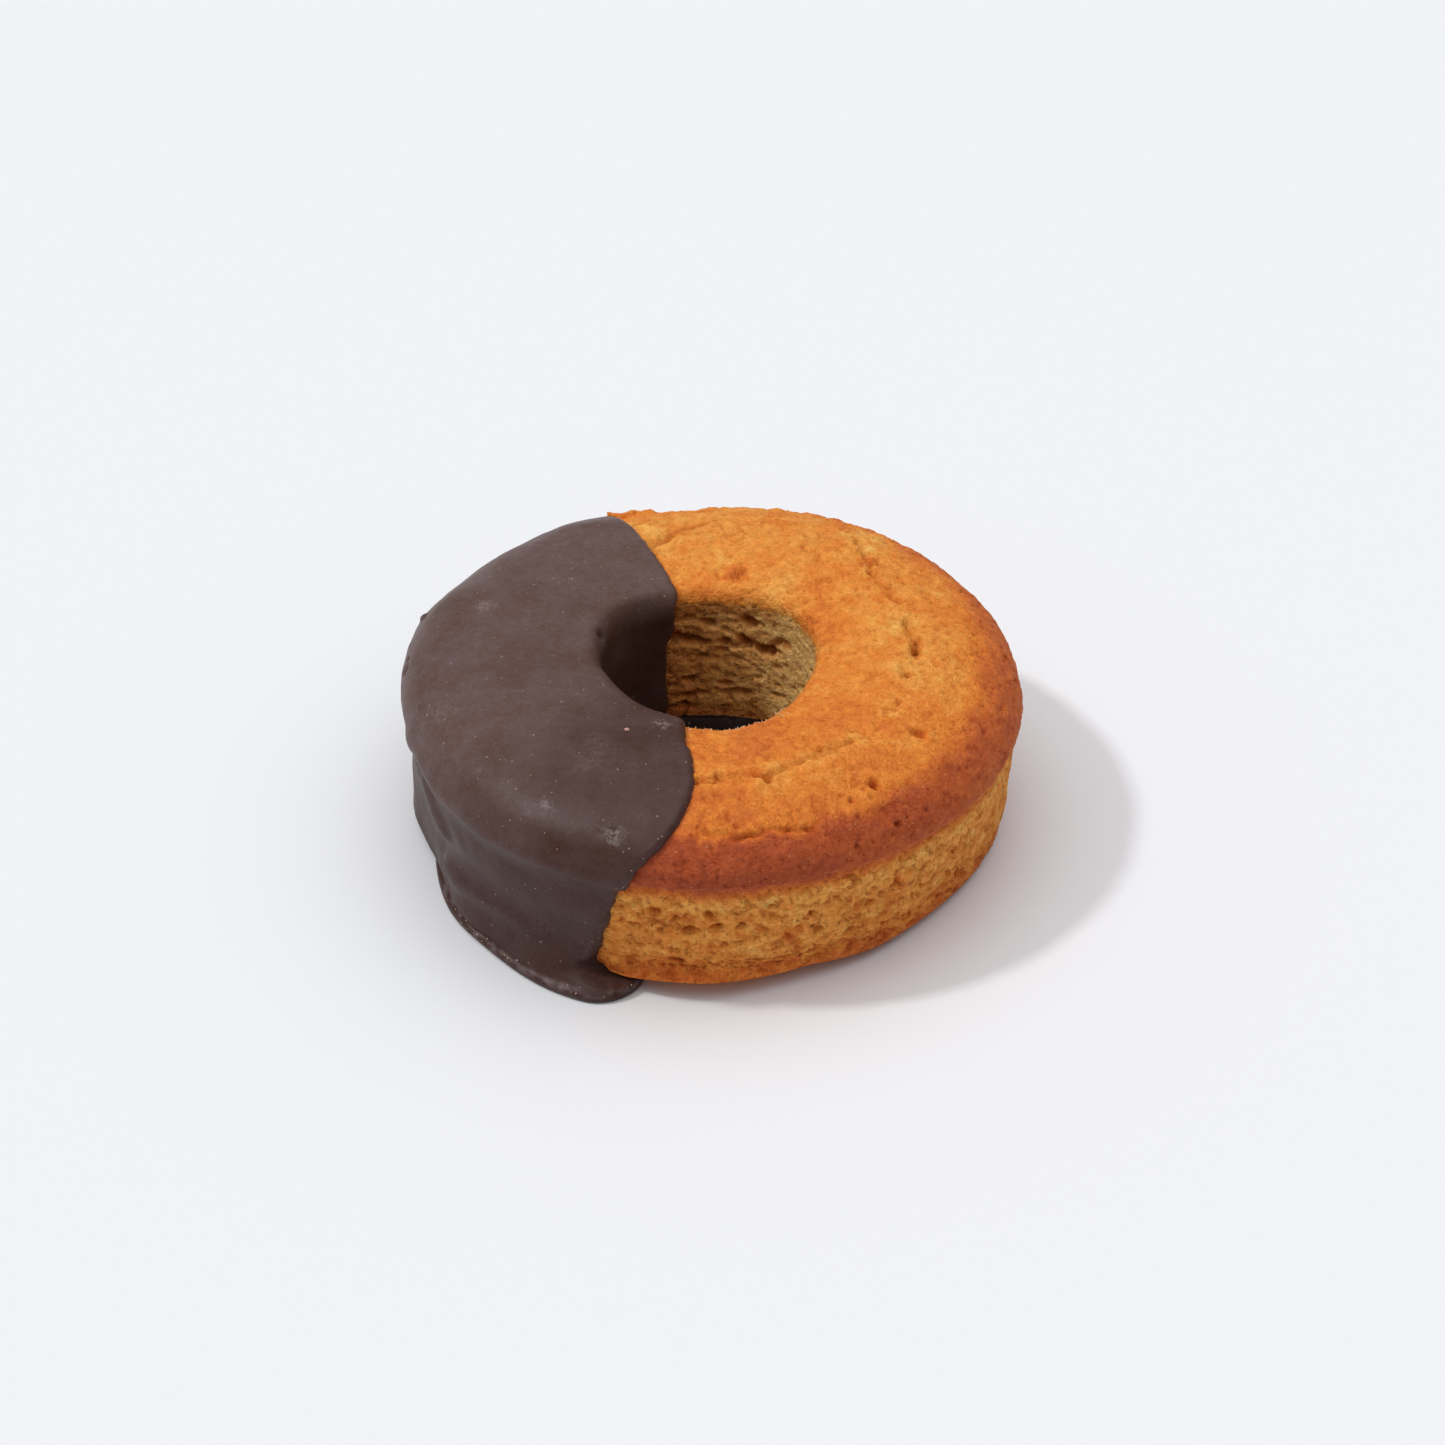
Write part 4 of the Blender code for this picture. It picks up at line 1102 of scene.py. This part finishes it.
def foot_radius(azimuth):
    """Outline of the chocolate's foot on the table."""
    reach = FOOT_RADIUS + 0.0 * azimuth
    for centre, spread, width in FOOT_BULGES:
        reach = reach + width * bell(turn(azimuth, centre), spread)
    for start, length, fall in FOOT_TIPS:
        share = np.clip((azimuth - start) / length, 0.0, 1.0)
        reach = reach - fall * (1.0 - np.sqrt(1.0 - share ** 2))
    return reach


def spline(points, count):
    """Points along a smooth curve through the given ones, which may be arrays of points."""
    padded = [2 * points[0] - points[1], *points, 2 * points[-1] - points[-2]]
    made = []
    for t in np.linspace(0.0, len(points) - 1.0, count + 1)[1:]:
        leg = min(int(t), len(points) - 2)
        a, b, c, d = padded[leg:leg + 4]
        u = t - leg
        made.append(0.5 * (2 * b + (c - a) * u + (2 * a - 5 * b + 4 * c - d) * u ** 2
                           + (3 * b - a - 3 * c + d) * u ** 3))
    return made


def foot_rows(wall_azimuth, table_azimuth, wall, hug, count):
    """The foot's profile from the wall down to the table, for each column. Where hug is 1 the
    profile clings to the cake and turns in under its heel."""
    edge = foot_radius(table_azimuth)
    flare = np.maximum(edge + FOOT_LIP[0][0] - wall, 0.0)
    flat = np.ones_like(wall)
    below = (wall + 0.70 * flare) * (1 - hug) + UNDER_HEEL * hug
    profile = [
        (wall, FOOT_START * flat), (wall + 0.32 * flare * (1 - hug), 3.1 + 0.4 * hug),
        (below, 2.1 - 0.5 * hug), *((edge + inset, rise * flat) for inset, rise in FOOT_LIP),
    ]
    made = []
    tip = HEEL_TIP * hug * (wall_azimuth > 200.0)
    for index, point in enumerate(spline([np.stack(pair, axis=-1) for pair in profile], count)):
        along = (index + 1) / count
        bearing = wall_azimuth + (table_azimuth - wall_azimuth) * smooth_step(*FOOT_TURN, along)
        bearing = bearing - tip * bell(along - FOOT_TURN[0], TIP_SPREAD)
        made.append(polar(bearing, point[:, 0], point[:, 1]))
    return made


print("the foot reaches", round(float(foot_radius(np.array([247.0]))[0]), 1), "mm from the axis")

# %% [markdown]
# Now the loft. Its columns crowd together at the dip line, where the chocolate rounds off
# within a millimetre, and the line itself wavers a little, as a liquid's edge does on rough
# crust. The thickness follows a quarter circle there, so the end is round and not a step.

# %% Loft the coat
# Distances of the end columns from the dip line, in millimetres
EDGE_COLUMNS = (0.0, 0.03, 0.09, 0.18, 0.3, 0.45, 0.62, 0.82, 1.1, 1.5, 2.0)
MIDDLE_COLUMNS, INNER_COLUMNS = 176, 14
FAR_FROM_END = 99.0
EDGE_ROUND = 0.95
SUNK_IN = 0.3  # the coat's inside lies this deep in the cake, so that no gap shows
WAVER = ((2.2, 0.22), (0.8, 0.13))
RAGGED = 0.3  # the end follows the open crumb of the side more closely
ROW_PASSES, THICKNESS_PASSES = 8, 30
# At the back left the coat turns into the hole over a tighter edge: more chocolate on the lip,
# share of the lip and its spread, azimuth and its spread
LIP_FULLER = (0.9, 0.55, 0.34, 145.0, 36.0)

rows = section(COAT_ROWS)
zone_of_row = np.ceil(rows[:, 0]).astype(int) - 1
upper = rows[(zone_of_row < ZONES.index("heel"))]
upper = upper[(upper[:, 0] <= ZONES.index("side")) | (upper[:, 2] > FOOT_START)]
upper[:, 1:] = soften(upper[:, 1:], ROW_PASSES)
upper_normals = section_normals(upper)


def waver(azimuth, radius, height, seed):
    """Millimetres by which the end of the chocolate strays from the dip line."""
    edge = polar(azimuth, radius, height)
    wavering = sum(amount * noise(edge, size, seed + i) for i, (size, amount) in enumerate(WAVER))
    on_crumb = smooth_step(17.5, 16.5, height) * (radius > CROWN_RADIUS)
    return wavering + RAGGED * on_crumb * noise(edge, 0.7, seed + 7)


def column_azimuths(places, radii, heights):
    """Azimuth and distance from the nearer end, for each row and column of the outer grid."""
    front, back = dip_azimuth(places, DIP_FRONT), dip_azimuth(places, DIP_BACK)
    front = front + np.degrees(waver(front, radii, heights, 70) / radii)
    back = back + np.degrees(waver(back, radii, heights, 75) / radii)
    ends = np.array(EDGE_COLUMNS)
    step = np.degrees(ends[None, :] / radii[:, None])
    share = np.linspace(0.0, 1.0, MIDDLE_COLUMNS + 1)[None, 1:-1]
    first, last = (back + step[:, -1])[:, None], (front - step[:, -1])[:, None]
    middle = first + (last - first) * share
    azimuths = np.concatenate([back[:, None] + step, middle, (front[:, None] - step)[:, ::-1]], axis=1)
    far = np.full(middle.shape, FAR_FROM_END)
    return azimuths, np.concatenate([ends + 0.0 * step, far, (ends + 0.0 * step)[:, ::-1]], axis=1)


def rounded_end(distance):
    """Share of the full thickness at a distance from the dip line."""
    share = np.clip(1.0 - distance / EDGE_ROUND, 0.0, 1.0)
    return np.sqrt(1.0 - share ** 2)


def offset_rows(azimuths, rows, row_normals, out):
    """Points of section rows on the ring, moved out from the cake by a distance."""
    flat = 0.0 * azimuths
    points = ring_point(azimuths, rows[:, :1] + flat, rows[:, 1:] + flat, bare=False)
    points = points + polar(azimuths, row_normals[:, :1] + flat, 0.0) * out[..., None]
    points[..., 2] += out * row_normals[:, 1:]
    return points


azimuths, end_distance = column_azimuths(upper[:, 0], upper[:, 1], upper[:, 2])
thickness = soften(coat_thickness(upper[:, 0:1], azimuths, upper[:, 2:3]), THICKNESS_PASSES)
fuller, lip_share, lip_spread, fuller_azimuth, fuller_spread = LIP_FULLER
on_lip = bell(upper[:, 0:1] - (ZONES.index("lip") + lip_share), lip_spread)
thickness += fuller * on_lip * bell(turn(azimuths, fuller_azimuth), fuller_spread)
out = -0.5 * SUNK_IN + (thickness + 0.5 * SUNK_IN) * rounded_end(end_distance)
outer = offset_rows(azimuths, upper[:, 1:], upper_normals, out)
print("upper coat:", outer.shape[0], "rows,", outer.shape[1], "columns")

# %% [markdown]
# Below the side come the foot, the flat underside and the turn back up into the hole. The
# inner grid follows the cake a little below its surface. Both grids close into one sleeve.

# %% The rows below the side
HEEL_FRONT, HEEL_BACK = 256.6, 117.0  # where the chocolate ends on the table
SWING = 26.0  # columns within this many degrees of an end swing towards it on their way down
CLING = 3.6  # within this many millimetres of an end the chocolate clings to the cake
# The inner grid's last rows, under the cake: distances from the axis and heights
INNER_LOW = ((HEEL_RADIUS - 0.1, 2.4), (HEEL_RADIUS - 1.0, 0.9), (HEEL_RADIUS - 2.6, 0.2),
             (26.0, 0.0), (HOLE_RADIUS + 1.5, 0.0))

foot_count = COAT_ROWS["heel"]
last = azimuths[-1]
foot_azimuths = last + (HEEL_FRONT - last[-1]) * smooth_step(last[-1] - SWING, last[-1], last)
foot_azimuths += (HEEL_BACK - last[0]) * smooth_step(last[0] + SWING, last[0], last)
wall = np.hypot(outer[-1, :, 0], outer[-1, :, 1])
to_end = np.radians(np.minimum(last[-1] - last, last - last[0])) * wall
foot = foot_rows(last, foot_azimuths, wall, smooth_step(CLING, 0.0, to_end), foot_count)
for index in range(foot_count):
    fade = 1 - smooth_step(0.0, 0.25, (index + 1) / foot_count)
    foot[index][:, 2] += fade * (outer[-1, :, 2] - FOOT_START)
foot_reach = np.hypot(foot[-1][:, 0], foot[-1][:, 1])
hole_edge = ring_point(foot_azimuths, np.full(len(last), HOLE_RADIUS), np.zeros(len(last)), bare=False)
hole_reach = np.hypot(*hole_edge[:, :2].T)
underneath = [polar(foot_azimuths, foot_reach + (hole_reach - COAT_HOLE - foot_reach) * share, 0.0)
              for share in np.linspace(0.0, 1.0, COAT_ROWS["base"] + 1)[1:]]
outer_grid = np.concatenate([outer, foot, underneath])

inner_rows = np.concatenate([upper[:, 1:], INNER_LOW])
inner_places = np.concatenate([upper[:, 0], np.full(len(INNER_LOW), ZONES.index("heel") + 0.6)])
inner_normals = section_normals(np.column_stack([inner_places, inner_rows]))
inner_front, inner_back = [
    np.concatenate([azimuths[:, end], last[end] + (goal - last[end]) * np.linspace(0.2, 1.0, len(INNER_LOW))])
    for end, goal in ((-1, HEEL_FRONT), (0, HEEL_BACK))]
shares = np.linspace(0.0, 1.0, INNER_COLUMNS)
inner_azimuths = inner_back[:, None] + (inner_front - inner_back)[:, None] * shares
inward = -SUNK_IN * np.ones_like(inner_azimuths)
inner_points = offset_rows(inner_azimuths, inner_rows, inner_normals, inward)
print("rows outside:", len(outer_grid), "and inside:", len(inner_points))

# %% [markdown]
# The two grids meet along the dip line. They have unlike numbers of rows, so triangles bridge
# them there, and each grid closes on itself under the cake. Deleting the inner grid would
# save faces, but then the chocolate would be an open sheet and not a solid piece.

# %% Close the sleeve
def grid_faces(start, rows, columns):
    """Faces of a grid that is closed from its last row to its first."""
    faces = []
    for i in range(rows):
        a, b = start + i * columns, start + (i + 1) % rows * columns
        faces += [(a + j, a + j + 1, b + j + 1, b + j) for j in range(columns - 1)]
    return faces


def bridge(first, second):
    """Triangles between two chains of vertices with unlike counts."""
    faces = []
    i = j = 0
    first_legs, second_legs = len(first) - 1, len(second) - 1
    while i < first_legs or j < second_legs:
        a, b = first[i], second[j]
        if (i + 1) * second_legs <= (j + 1) * first_legs:
            i += 1
            faces.append((a, first[i], b))
        else:
            j += 1
            faces.append((a, second[j], b))
    return faces


outer_rows, outer_columns = outer_grid.shape[:2]
inner_count = len(inner_points)
second_start = outer_rows * outer_columns
coat_points = np.concatenate([outer_grid.reshape(-1, 3), inner_points.reshape(-1, 3)])
coat_faces = grid_faces(0, outer_rows, outer_columns)
coat_faces += [face[::-1] for face in grid_faces(second_start, inner_count, INNER_COLUMNS)]
shared = len(upper)  # this many rows of both grids lie on the same places of the section
for outer_column, inner_column, flip in ((0, 0, False), (outer_columns - 1, INNER_COLUMNS - 1, True)):
    outer_ring = [row % outer_rows * outer_columns + outer_column for row in range(outer_rows + 1)]
    inner_ring = [second_start + row % inner_count * INNER_COLUMNS + inner_column
                  for row in range(inner_count + 1)]
    made = bridge(outer_ring[:shared], inner_ring[:shared])
    made += bridge(outer_ring[shared - 1:], inner_ring[shared - 1:])
    coat_faces += [face[::-1] for face in made] if flip else made
coat_mesh = closed_mesh("chocolate_coat", coat_points, coat_faces)
print("coat:", len(coat_points), "vertices")

# %% [markdown]
# ## The pool in the hole
# Chocolate ran down inside and closed the bottom of the hole with a shallow pool whose edge
# creeps up the wall. It is one piece with the coat. A Boolean union joins them, so that the
# chocolate stays a single closed mesh.

# %% The pool
POOL_HEIGHT, POOL_FLOOR = 5.1, 0.2
POOL_MENISCUS, POOL_CURVE = 1.0, 12
POOL_OVERLAP = 0.45
POOL_FRONT, POOL_BACK = (258.0, 248.0), (112.0, 122.0)
POOL_STEPS, POOL_RINGS = 150, 22


def pool_edge(azimuth):
    """Distance from the axis where the pool ends: at the bare wall, or inside the coat."""
    count = len(azimuth)
    wall = ring_point(azimuth, np.full(count, HOLE_RADIUS), np.full(count, POOL_HEIGHT), bare=False)
    under_coat = smooth_step(*POOL_BACK, azimuth) * smooth_step(*POOL_FRONT, azimuth)
    return np.hypot(wall[:, 0], wall[:, 1]) + 0.15 - under_coat * (COAT_HOLE - POOL_OVERLAP)


pool_azimuth = np.arange(POOL_STEPS) * 360.0 / POOL_STEPS
edge = pool_edge(pool_azimuth)
pool_points = [np.array([[0.0, 0.0, POOL_HEIGHT]])]
for share in np.linspace(0.0, 1.0, POOL_RINGS + 1)[1:]:
    rise = POOL_MENISCUS * share ** POOL_CURVE + 0.06 * np.sin(7 * share + np.radians(2 * pool_azimuth))
    pool_points.append(polar(pool_azimuth, edge * share, POOL_HEIGHT + rise * np.ones(POOL_STEPS)))
pool_points.append(polar(pool_azimuth, edge, POOL_FLOOR))
pool_points.append(np.array([[0.0, 0.0, POOL_FLOOR]]))
pairs = [(j, (j + 1) % POOL_STEPS) for j in range(POOL_STEPS)]
pool_faces = [(0, 1 + j, 1 + k) for j, k in pairs]
for ring in range(POOL_RINGS):
    a, b = 1 + ring * POOL_STEPS, 1 + (ring + 1) * POOL_STEPS
    pool_faces += [(a + j, b + j, b + k, a + k) for j, k in pairs]
bottom = 1 + POOL_RINGS * POOL_STEPS
pool_faces += [(bottom + k, bottom + j, bottom + POOL_STEPS) for j, k in pairs]
pool = add_object("pool", closed_mesh("pool", np.concatenate(pool_points), pool_faces))

chocolate = add_object("chocolate_coat", coat_mesh)
union = chocolate.modifiers.new("join_pool", "BOOLEAN")
union.operation = "UNION"
union.solver = "MANIFOLD"
union.object = pool
bpy.context.view_layer.update()
joined = bpy.data.meshes.new_from_object(chocolate.evaluated_get(bpy.context.evaluated_depsgraph_get()))
print("vertices joined:", len(coat_mesh.vertices), "+", len(pool.data.vertices), "->", len(joined.vertices))
chocolate.modifiers.clear()
chocolate.data = joined
bpy.data.objects.remove(pool)
joined.name = "chocolate_coat"
joined.shade_smooth()

# %% [markdown]
# ## Marks in the chocolate
# Set chocolate is smooth but not perfect: it sagged in slow waves, a soft crease runs under
# the rim and ridges down the left side, the rim is chipped in one place, and there are scuffs
# where it was handled. The masks made with them say where it is dusty, and where a painted
# highlight runs along the upper ridge and the foot's lip. One more mask says where shade is
# painted: the side below the rim, the hole and the front of the top.

# %% Chocolate relief
# Paths over the outer side, as azimuths and heights
CREASE = ((196, 19.2), (204, 19.8), (211, 20.0), (219, 19.5), (231, 19.2), (240, 19.3),
          (248, 19.4), (254, 18.9))
RIDGES = (((203, 16.6), (208, 14.6), (213, 12.4)),
          ((211, 6.1), (218, 6.9), (224, 7.1), (232, 7.0), (238, 6.8)))
# Scuffs: azimuth, distance from the axis, height, radius
SCUFFS = ((238.0, 38.2, 24.2, 1.9), (252.6, 38.7, 23.9, 1.7), (201.0, 36.5, 24.6, 1.6),
          (253.0, 19.6, 26.8, 1.9), (166.0, 30.0, 27.0, 1.5))
# Pits and knobs: azimuth, distance from the axis, height, radius, depth (negative for a knob)
CHOCOLATE_PITS = (
    (252.5, 38.0, 24.4, 0.7, 0.45), (250.5, 38.6, 23.6, 0.4, 0.3), (166.5, 14.8, 24.6, 1.0, 1.3),
    (180.0, 39.3, 21.8, 0.9, 0.55), (183.5, 39.5, 20.8, 0.6, 0.45), (177.0, 39.2, 22.2, 0.5, 0.40),
    (162.0, 39.2, 22.3, 0.9, -0.40), (171.0, 39.4, 21.6, 0.5, 0.30), (247.0, 39.6, 21.8, 0.4, 0.2),
    (222.0, 37.4, 24.6, 0.4, 0.2), (195.0, 38.0, 23.6, 0.5, -0.2), (214.0, 33.0, 26.0, 0.4, 0.15),
)
COAT_WAVES = ((0.22, 8.0, 80), (0.09, 3.5, 81), (0.03, 1.3, 82))  # height, size and seed

coat = read_vertices(joined, "co") / MM
coat_normals = read_vertices(joined, "normal")
coat_around = np.degrees(np.arctan2(coat[:, 1], coat[:, 0])) % 360.0
coat_reach = np.hypot(coat[:, 0], coat[:, 1])
coat_relief = noises(coat, *COAT_WAVES)
outer_skin = smooth_step(30.0, 36.0, coat_reach)
wavy_map = flat_map(coat_around, coat[:, 2] + 0.5 * noise(coat, 3.0, 83), RIM_RADIUS)
crease_gap = distance_to_path(wavy_map, on_map(CREASE, RIM_RADIUS))
coat_relief += outer_skin * (0.24 * bell(crease_gap, 1.1) - 0.12 * bell(crease_gap - 2.4, 1.3))
side_map = flat_map(coat_around, coat[:, 2], RIM_RADIUS)
ridge_gap = np.minimum.reduce([distance_to_path(side_map, on_map(path, RIM_RADIUS)) for path in RIDGES])
coat_relief += outer_skin * (0.42 * bell(ridge_gap, 1.1) - 0.16 * bell(ridge_gap - 2.4, 1.2))
dust = np.zeros(len(coat))
for *spot, size in SCUFFS:
    gap = distance_to(coat, polar(*spot))
    patch = smooth_step(1.0, 0.1, gap / size + 0.6 * noise(coat, 1.4, 84))
    dust = np.maximum(dust, patch)
    coat_relief += 0.05 * patch * noise(coat, 0.8, 85)
pit_field = shake(coat, 0.9, 0.25, 86)
for *spot, size, depth in CHOCOLATE_PITS:
    centre = coat[np.argmin(distance_to(coat, polar(*spot)))]
    coat_relief -= depth * smooth_step(size, 0.3 * size, distance_to(pit_field, centre))
# Painted highlight: a pale line along the upper ridge of the left side
dust = np.maximum(dust, 0.5 * bell(ridge_gap, 0.8) * outer_skin * smooth_step(8.0, 11.0, coat[:, 2]))
dust = np.maximum(dust, 0.2 * smooth_step(0.25, 0.9, noise(coat, 5.0, 87)))
near_axis = smooth_step(15.2, 14.0, coat_reach)
in_pool = near_axis * smooth_step(8.5, 6.0, coat[:, 2])
standing = smooth_step(0.3, 1.2, coat[:, 2]) * (1 - 0.9 * in_pool)
coat = coat + coat_normals * (coat_relief * standing)[:, None]
move_vertices(joined, coat)
# Partly painted highlight: a pale line along the foot's lip, partly bloom and crumbs
foot_lip = bell(coat[:, 2] - 1.15, 0.35) * smooth_step(37.0, 38.0, coat_reach)
# Painted shade: the side below the rim and the inside of the hole take the darker brown; the front of the top
# is darker as well
in_hole = near_axis * smooth_step(24.5, 22.0, coat[:, 2])
low_side = smooth_step(21.5, 17.5, coat[:, 2])
front_top = 0.75 * smooth_step(205.0, 245.0, coat_around) * (coat_around < 300.0)
fresh = np.maximum(np.maximum(low_side, in_hole), front_top)
add_masks(joined, dust=dust, fresh=fresh + 0.15 * noise(coat, 6.0, 89), pool=in_pool,
          foot_lip=foot_lip * smooth_step(-0.1, 0.5, noise(coat, 1.2, 88)))
print("chocolate:", len(coat), "vertices, relief", coat_relief.min().round(2), coat_relief.max().round(2))

# %% [markdown]
# ## Chocolate material
# Dark chocolate that set without tempering is satin: a deep brown with a faint grey bloom of
# fat and a fine dusty tooth. It could be a glossy black-brown with bump, but the bloom is what
# makes it look real, so dust and noise mix a greyer, rougher brown over the deep one. The
# colour also holds painted light: a darker brown paints shade on the side, in the hole and at
# the front of the top, a dark tint paints shade on the pool, and the greyer brown doubles as a
# painted highlight along the upper ridge and the foot's lip.

# %% Chocolate material
DULL_BROWN = (0.116, 0.068, 0.059, 1.0)
DEEP_BROWN = (0.060, 0.027, 0.022, 1.0)
BLOOM_BROWN = (0.250, 0.200, 0.190, 1.0)
SPECK_COLOUR = (0.46, 0.37, 0.32, 1.0)
# Painted shade: this tint darkens the pool at the bottom of the hole
POOL_TINT = (0.22, 0.20, 0.18, 1.0)
TOOTH_BUMP = 0.00006

chocolate_material, chocolate_shader, tree = plain_material("dark_chocolate", DEEP_BROWN[:3], 0.45)
pool_share = attribute(tree, "pool")
# Painted shade: the second brown is the chocolate in shade, mixed in on the side, in the hole and at the
# front of the top
colour = blend_colours(tree, attribute(tree, "fresh"), DULL_BROWN, DEEP_BROWN)
# Painted shade: the pool is darkened by its tint
colour = blend_colours(tree, pool_share, colour, blend_colours(tree, 1.0, colour, POOL_TINT, "MULTIPLY"))
colour = mottled(tree, colour, (5.0, 0.16), (1.2, 0.12), (0.4, 0.14))
dusting = place_group(tree, grain_group, Size=0.8, Finer=0.6)
patchy = calculate(tree, "MULTIPLY", calculate(tree, "SUBTRACT", dusting, 0.70), 4.0, clamp=True)
# Dust, bloom and the painted highlight of the upper ridge
dusty = times(tree, attribute(tree, "dust"), times(tree, patchy, 0.75))
colour = blend_colours(tree, dusty, colour, BLOOM_BROWN)
# Partly painted highlight: the foot's lip is paler
colour = blend_colours(tree, times(tree, attribute(tree, "foot_lip"), 0.45), colour, BLOOM_BROWN)
specks = place_group(tree, speck_group, Spacing=0.8, Share=0.26, Radius=0.19)
colour = blend_colours(tree, times(tree, specks, 0.45), colour, SPECK_COLOUR)
tooth = place_group(tree, grain_group, Size=0.35, Finer=0.5)
finish_shader(tree, chocolate_shader, colour, tooth, 0.35, TOOTH_BUMP)
roughness = calculate(tree, "ADD", 0.42, times(tree, dusty, 0.8))
roughness = calculate(tree, "ADD", roughness, times(tree, pool_share, 0.25))
plug(tree, chocolate_shader.inputs["Roughness"], roughness)
chocolate_shader.inputs["Specular IOR Level"].default_value = 0.17
joined.materials.clear()
joined.materials.append(chocolate_material)
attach(chocolate, "root")
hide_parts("chocolate")
print("chocolate dressed")

# %% [markdown]
# ## Crumbs
# Loose crumbs cling to the torn edge of the hole, to the crust and to the chocolate. Particles
# would scatter them, but only real meshes leave Blender with the model. Each crumb is a small
# uneven lump of twenty faces, and all of them are joined into one mesh, placed by a seeded
# draw on the points of the finished surfaces.

# %% Crumbs
# Where crumbs lie: how many, smallest and largest radius
EDGE_CRUMBS = (120, 0.07, 0.20)
CRUST_CRUMBS = (60, 0.05, 0.10)
COAT_CRUMBS = (150, 0.035, 0.09)
LIP_CRUMBS = (26, 0.05, 0.13)
PINK_CRUMB = (243.8, 23.0, 27.3, 0.36)  # azimuth, distance from the axis, height, radius

golden = (1 + math.sqrt(5)) / 2
LUMP = np.array([(x, y * golden, 0.0) for x in (-1, 1) for y in (-1, 1)])
LUMP = np.concatenate([LUMP, LUMP[:, [2, 0, 1]], LUMP[:, [1, 2, 0]]])
LUMP /= np.linalg.norm(LUMP[0])


def lump_faces():
    """The twenty faces of the lump: every three corners that are nearest to each other."""
    side = np.linalg.norm(LUMP[:, None] - LUMP[None], axis=2)
    near = (side < 1.2) & (side > 0.1)
    faces = []
    for a in range(12):
        for b in range(a + 1, 12):
            for c in range(b + 1, 12):
                if near[a, b] and near[b, c] and near[a, c]:
                    turned = np.dot(np.cross(LUMP[b] - LUMP[a], LUMP[c] - LUMP[a]), LUMP[a]) < 0
                    faces.append((a, c, b) if turned else (a, b, c))
    return faces


random = np.random.default_rng(90)
crumb_points, crumb_faces, crumb_tones = [], [], []
LUMP_FACES = lump_faces()


def drop_crumb(spot, normal, size, tone):
    """Adds one crumb that sits on a point of a surface."""
    uneven = LUMP * random.uniform(0.7, 1.25, (12, 1)) * random.uniform(0.6, 1.2, 3)
    start = 12 * len(crumb_points)
    crumb_points.append(spot + normal * 0.35 * size + uneven * size)
    crumb_faces.extend([(a + start, b + start, c + start) for a, b, c in LUMP_FACES])
    crumb_tones.append(tone)


def scatter_crumbs(points, directions, is_there, settings, tones):
    """Drops crumbs on points drawn from a mask; their tones lie between the two given."""
    amount, smallest, largest = settings
    choices = np.flatnonzero(is_there)
    for vertex in random.choice(choices, min(amount, len(choices)), replace=False):
        size = smallest * (largest / smallest) ** (random.random() ** 1.8)
        drop_crumb(points[vertex], directions[vertex], size, random.uniform(*tones))


cake_normals = read_vertices(cake_mesh, "normal")
from_edge = turn(around, -70.0)
is_edge = on_wall & (height > 22.6) & (from_edge > -36.0) & (from_edge < 14.0) & (inside_bare > 0.3)
scatter_crumbs(shaped, cake_normals, is_edge, EDGE_CRUMBS, (0.3, 0.85))
scatter_crumbs(shaped, cake_normals, bare_crust, CRUST_CRUMBS, (0.0, 0.3))
on_coat = (coat_normals[:, 2] > -0.1) & (coat[:, 2] > 6.0) & (coat_reach > 15.5)
scatter_crumbs(coat, coat_normals, on_coat, COAT_CRUMBS, (0.5, 0.95))
on_foot = (coat[:, 2] > 1.0) & (coat[:, 2] < 1.6) & (coat_reach > 38.0) & (coat_around > 200.0)
scatter_crumbs(coat, coat_normals, on_foot, LIP_CRUMBS, (0.7, 0.95))
pink = np.argmin(distance_to(coat, polar(*PINK_CRUMB[:3])))
drop_crumb(coat[pink], coat_normals[pink], PINK_CRUMB[3], 1.0)

crumbs_mesh = bpy.data.meshes.new("crumbs")
crumbs_mesh.from_pydata((np.concatenate(crumb_points) * MM).tolist(), [], crumb_faces)
add_masks(crumbs_mesh, tone=np.repeat(crumb_tones, 12))
crumbs = add_object("crumbs", crumbs_mesh)
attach(crumbs, "root")
print("crumbs:", len(crumb_points))

# %% [markdown]
# A crumb's colour is its own tone, from baked orange to pale, mottled by the same group that
# the cake uses.

# %% Crumb material
CRUMB_RAMP = (
    (0.0, (0.55, 0.20, 0.05)), (0.5, (0.74, 0.42, 0.17)), (0.9, (0.80, 0.66, 0.50)),
    (1.0, (0.62, 0.34, 0.30)),
)
CRUMB_BUMP = 0.00005

crumb_material, crumb_shader, tree = plain_material("loose_crumb", (0.74, 0.42, 0.17), 0.85)
colour = mottled(tree, ramp(tree, attribute(tree, "tone"), CRUMB_RAMP), (0.3, 0.2))
grain = place_group(tree, grain_group, Size=0.15, Finer=0.5)
finish_shader(tree, crumb_shader, colour, grain, 0.5, CRUMB_BUMP)
crumbs_mesh.materials.append(crumb_material)
print("crumb material ready")

# %% [markdown]
# The dressed ring has to keep the size of the plain solids.

bpy.context.view_layer.update()
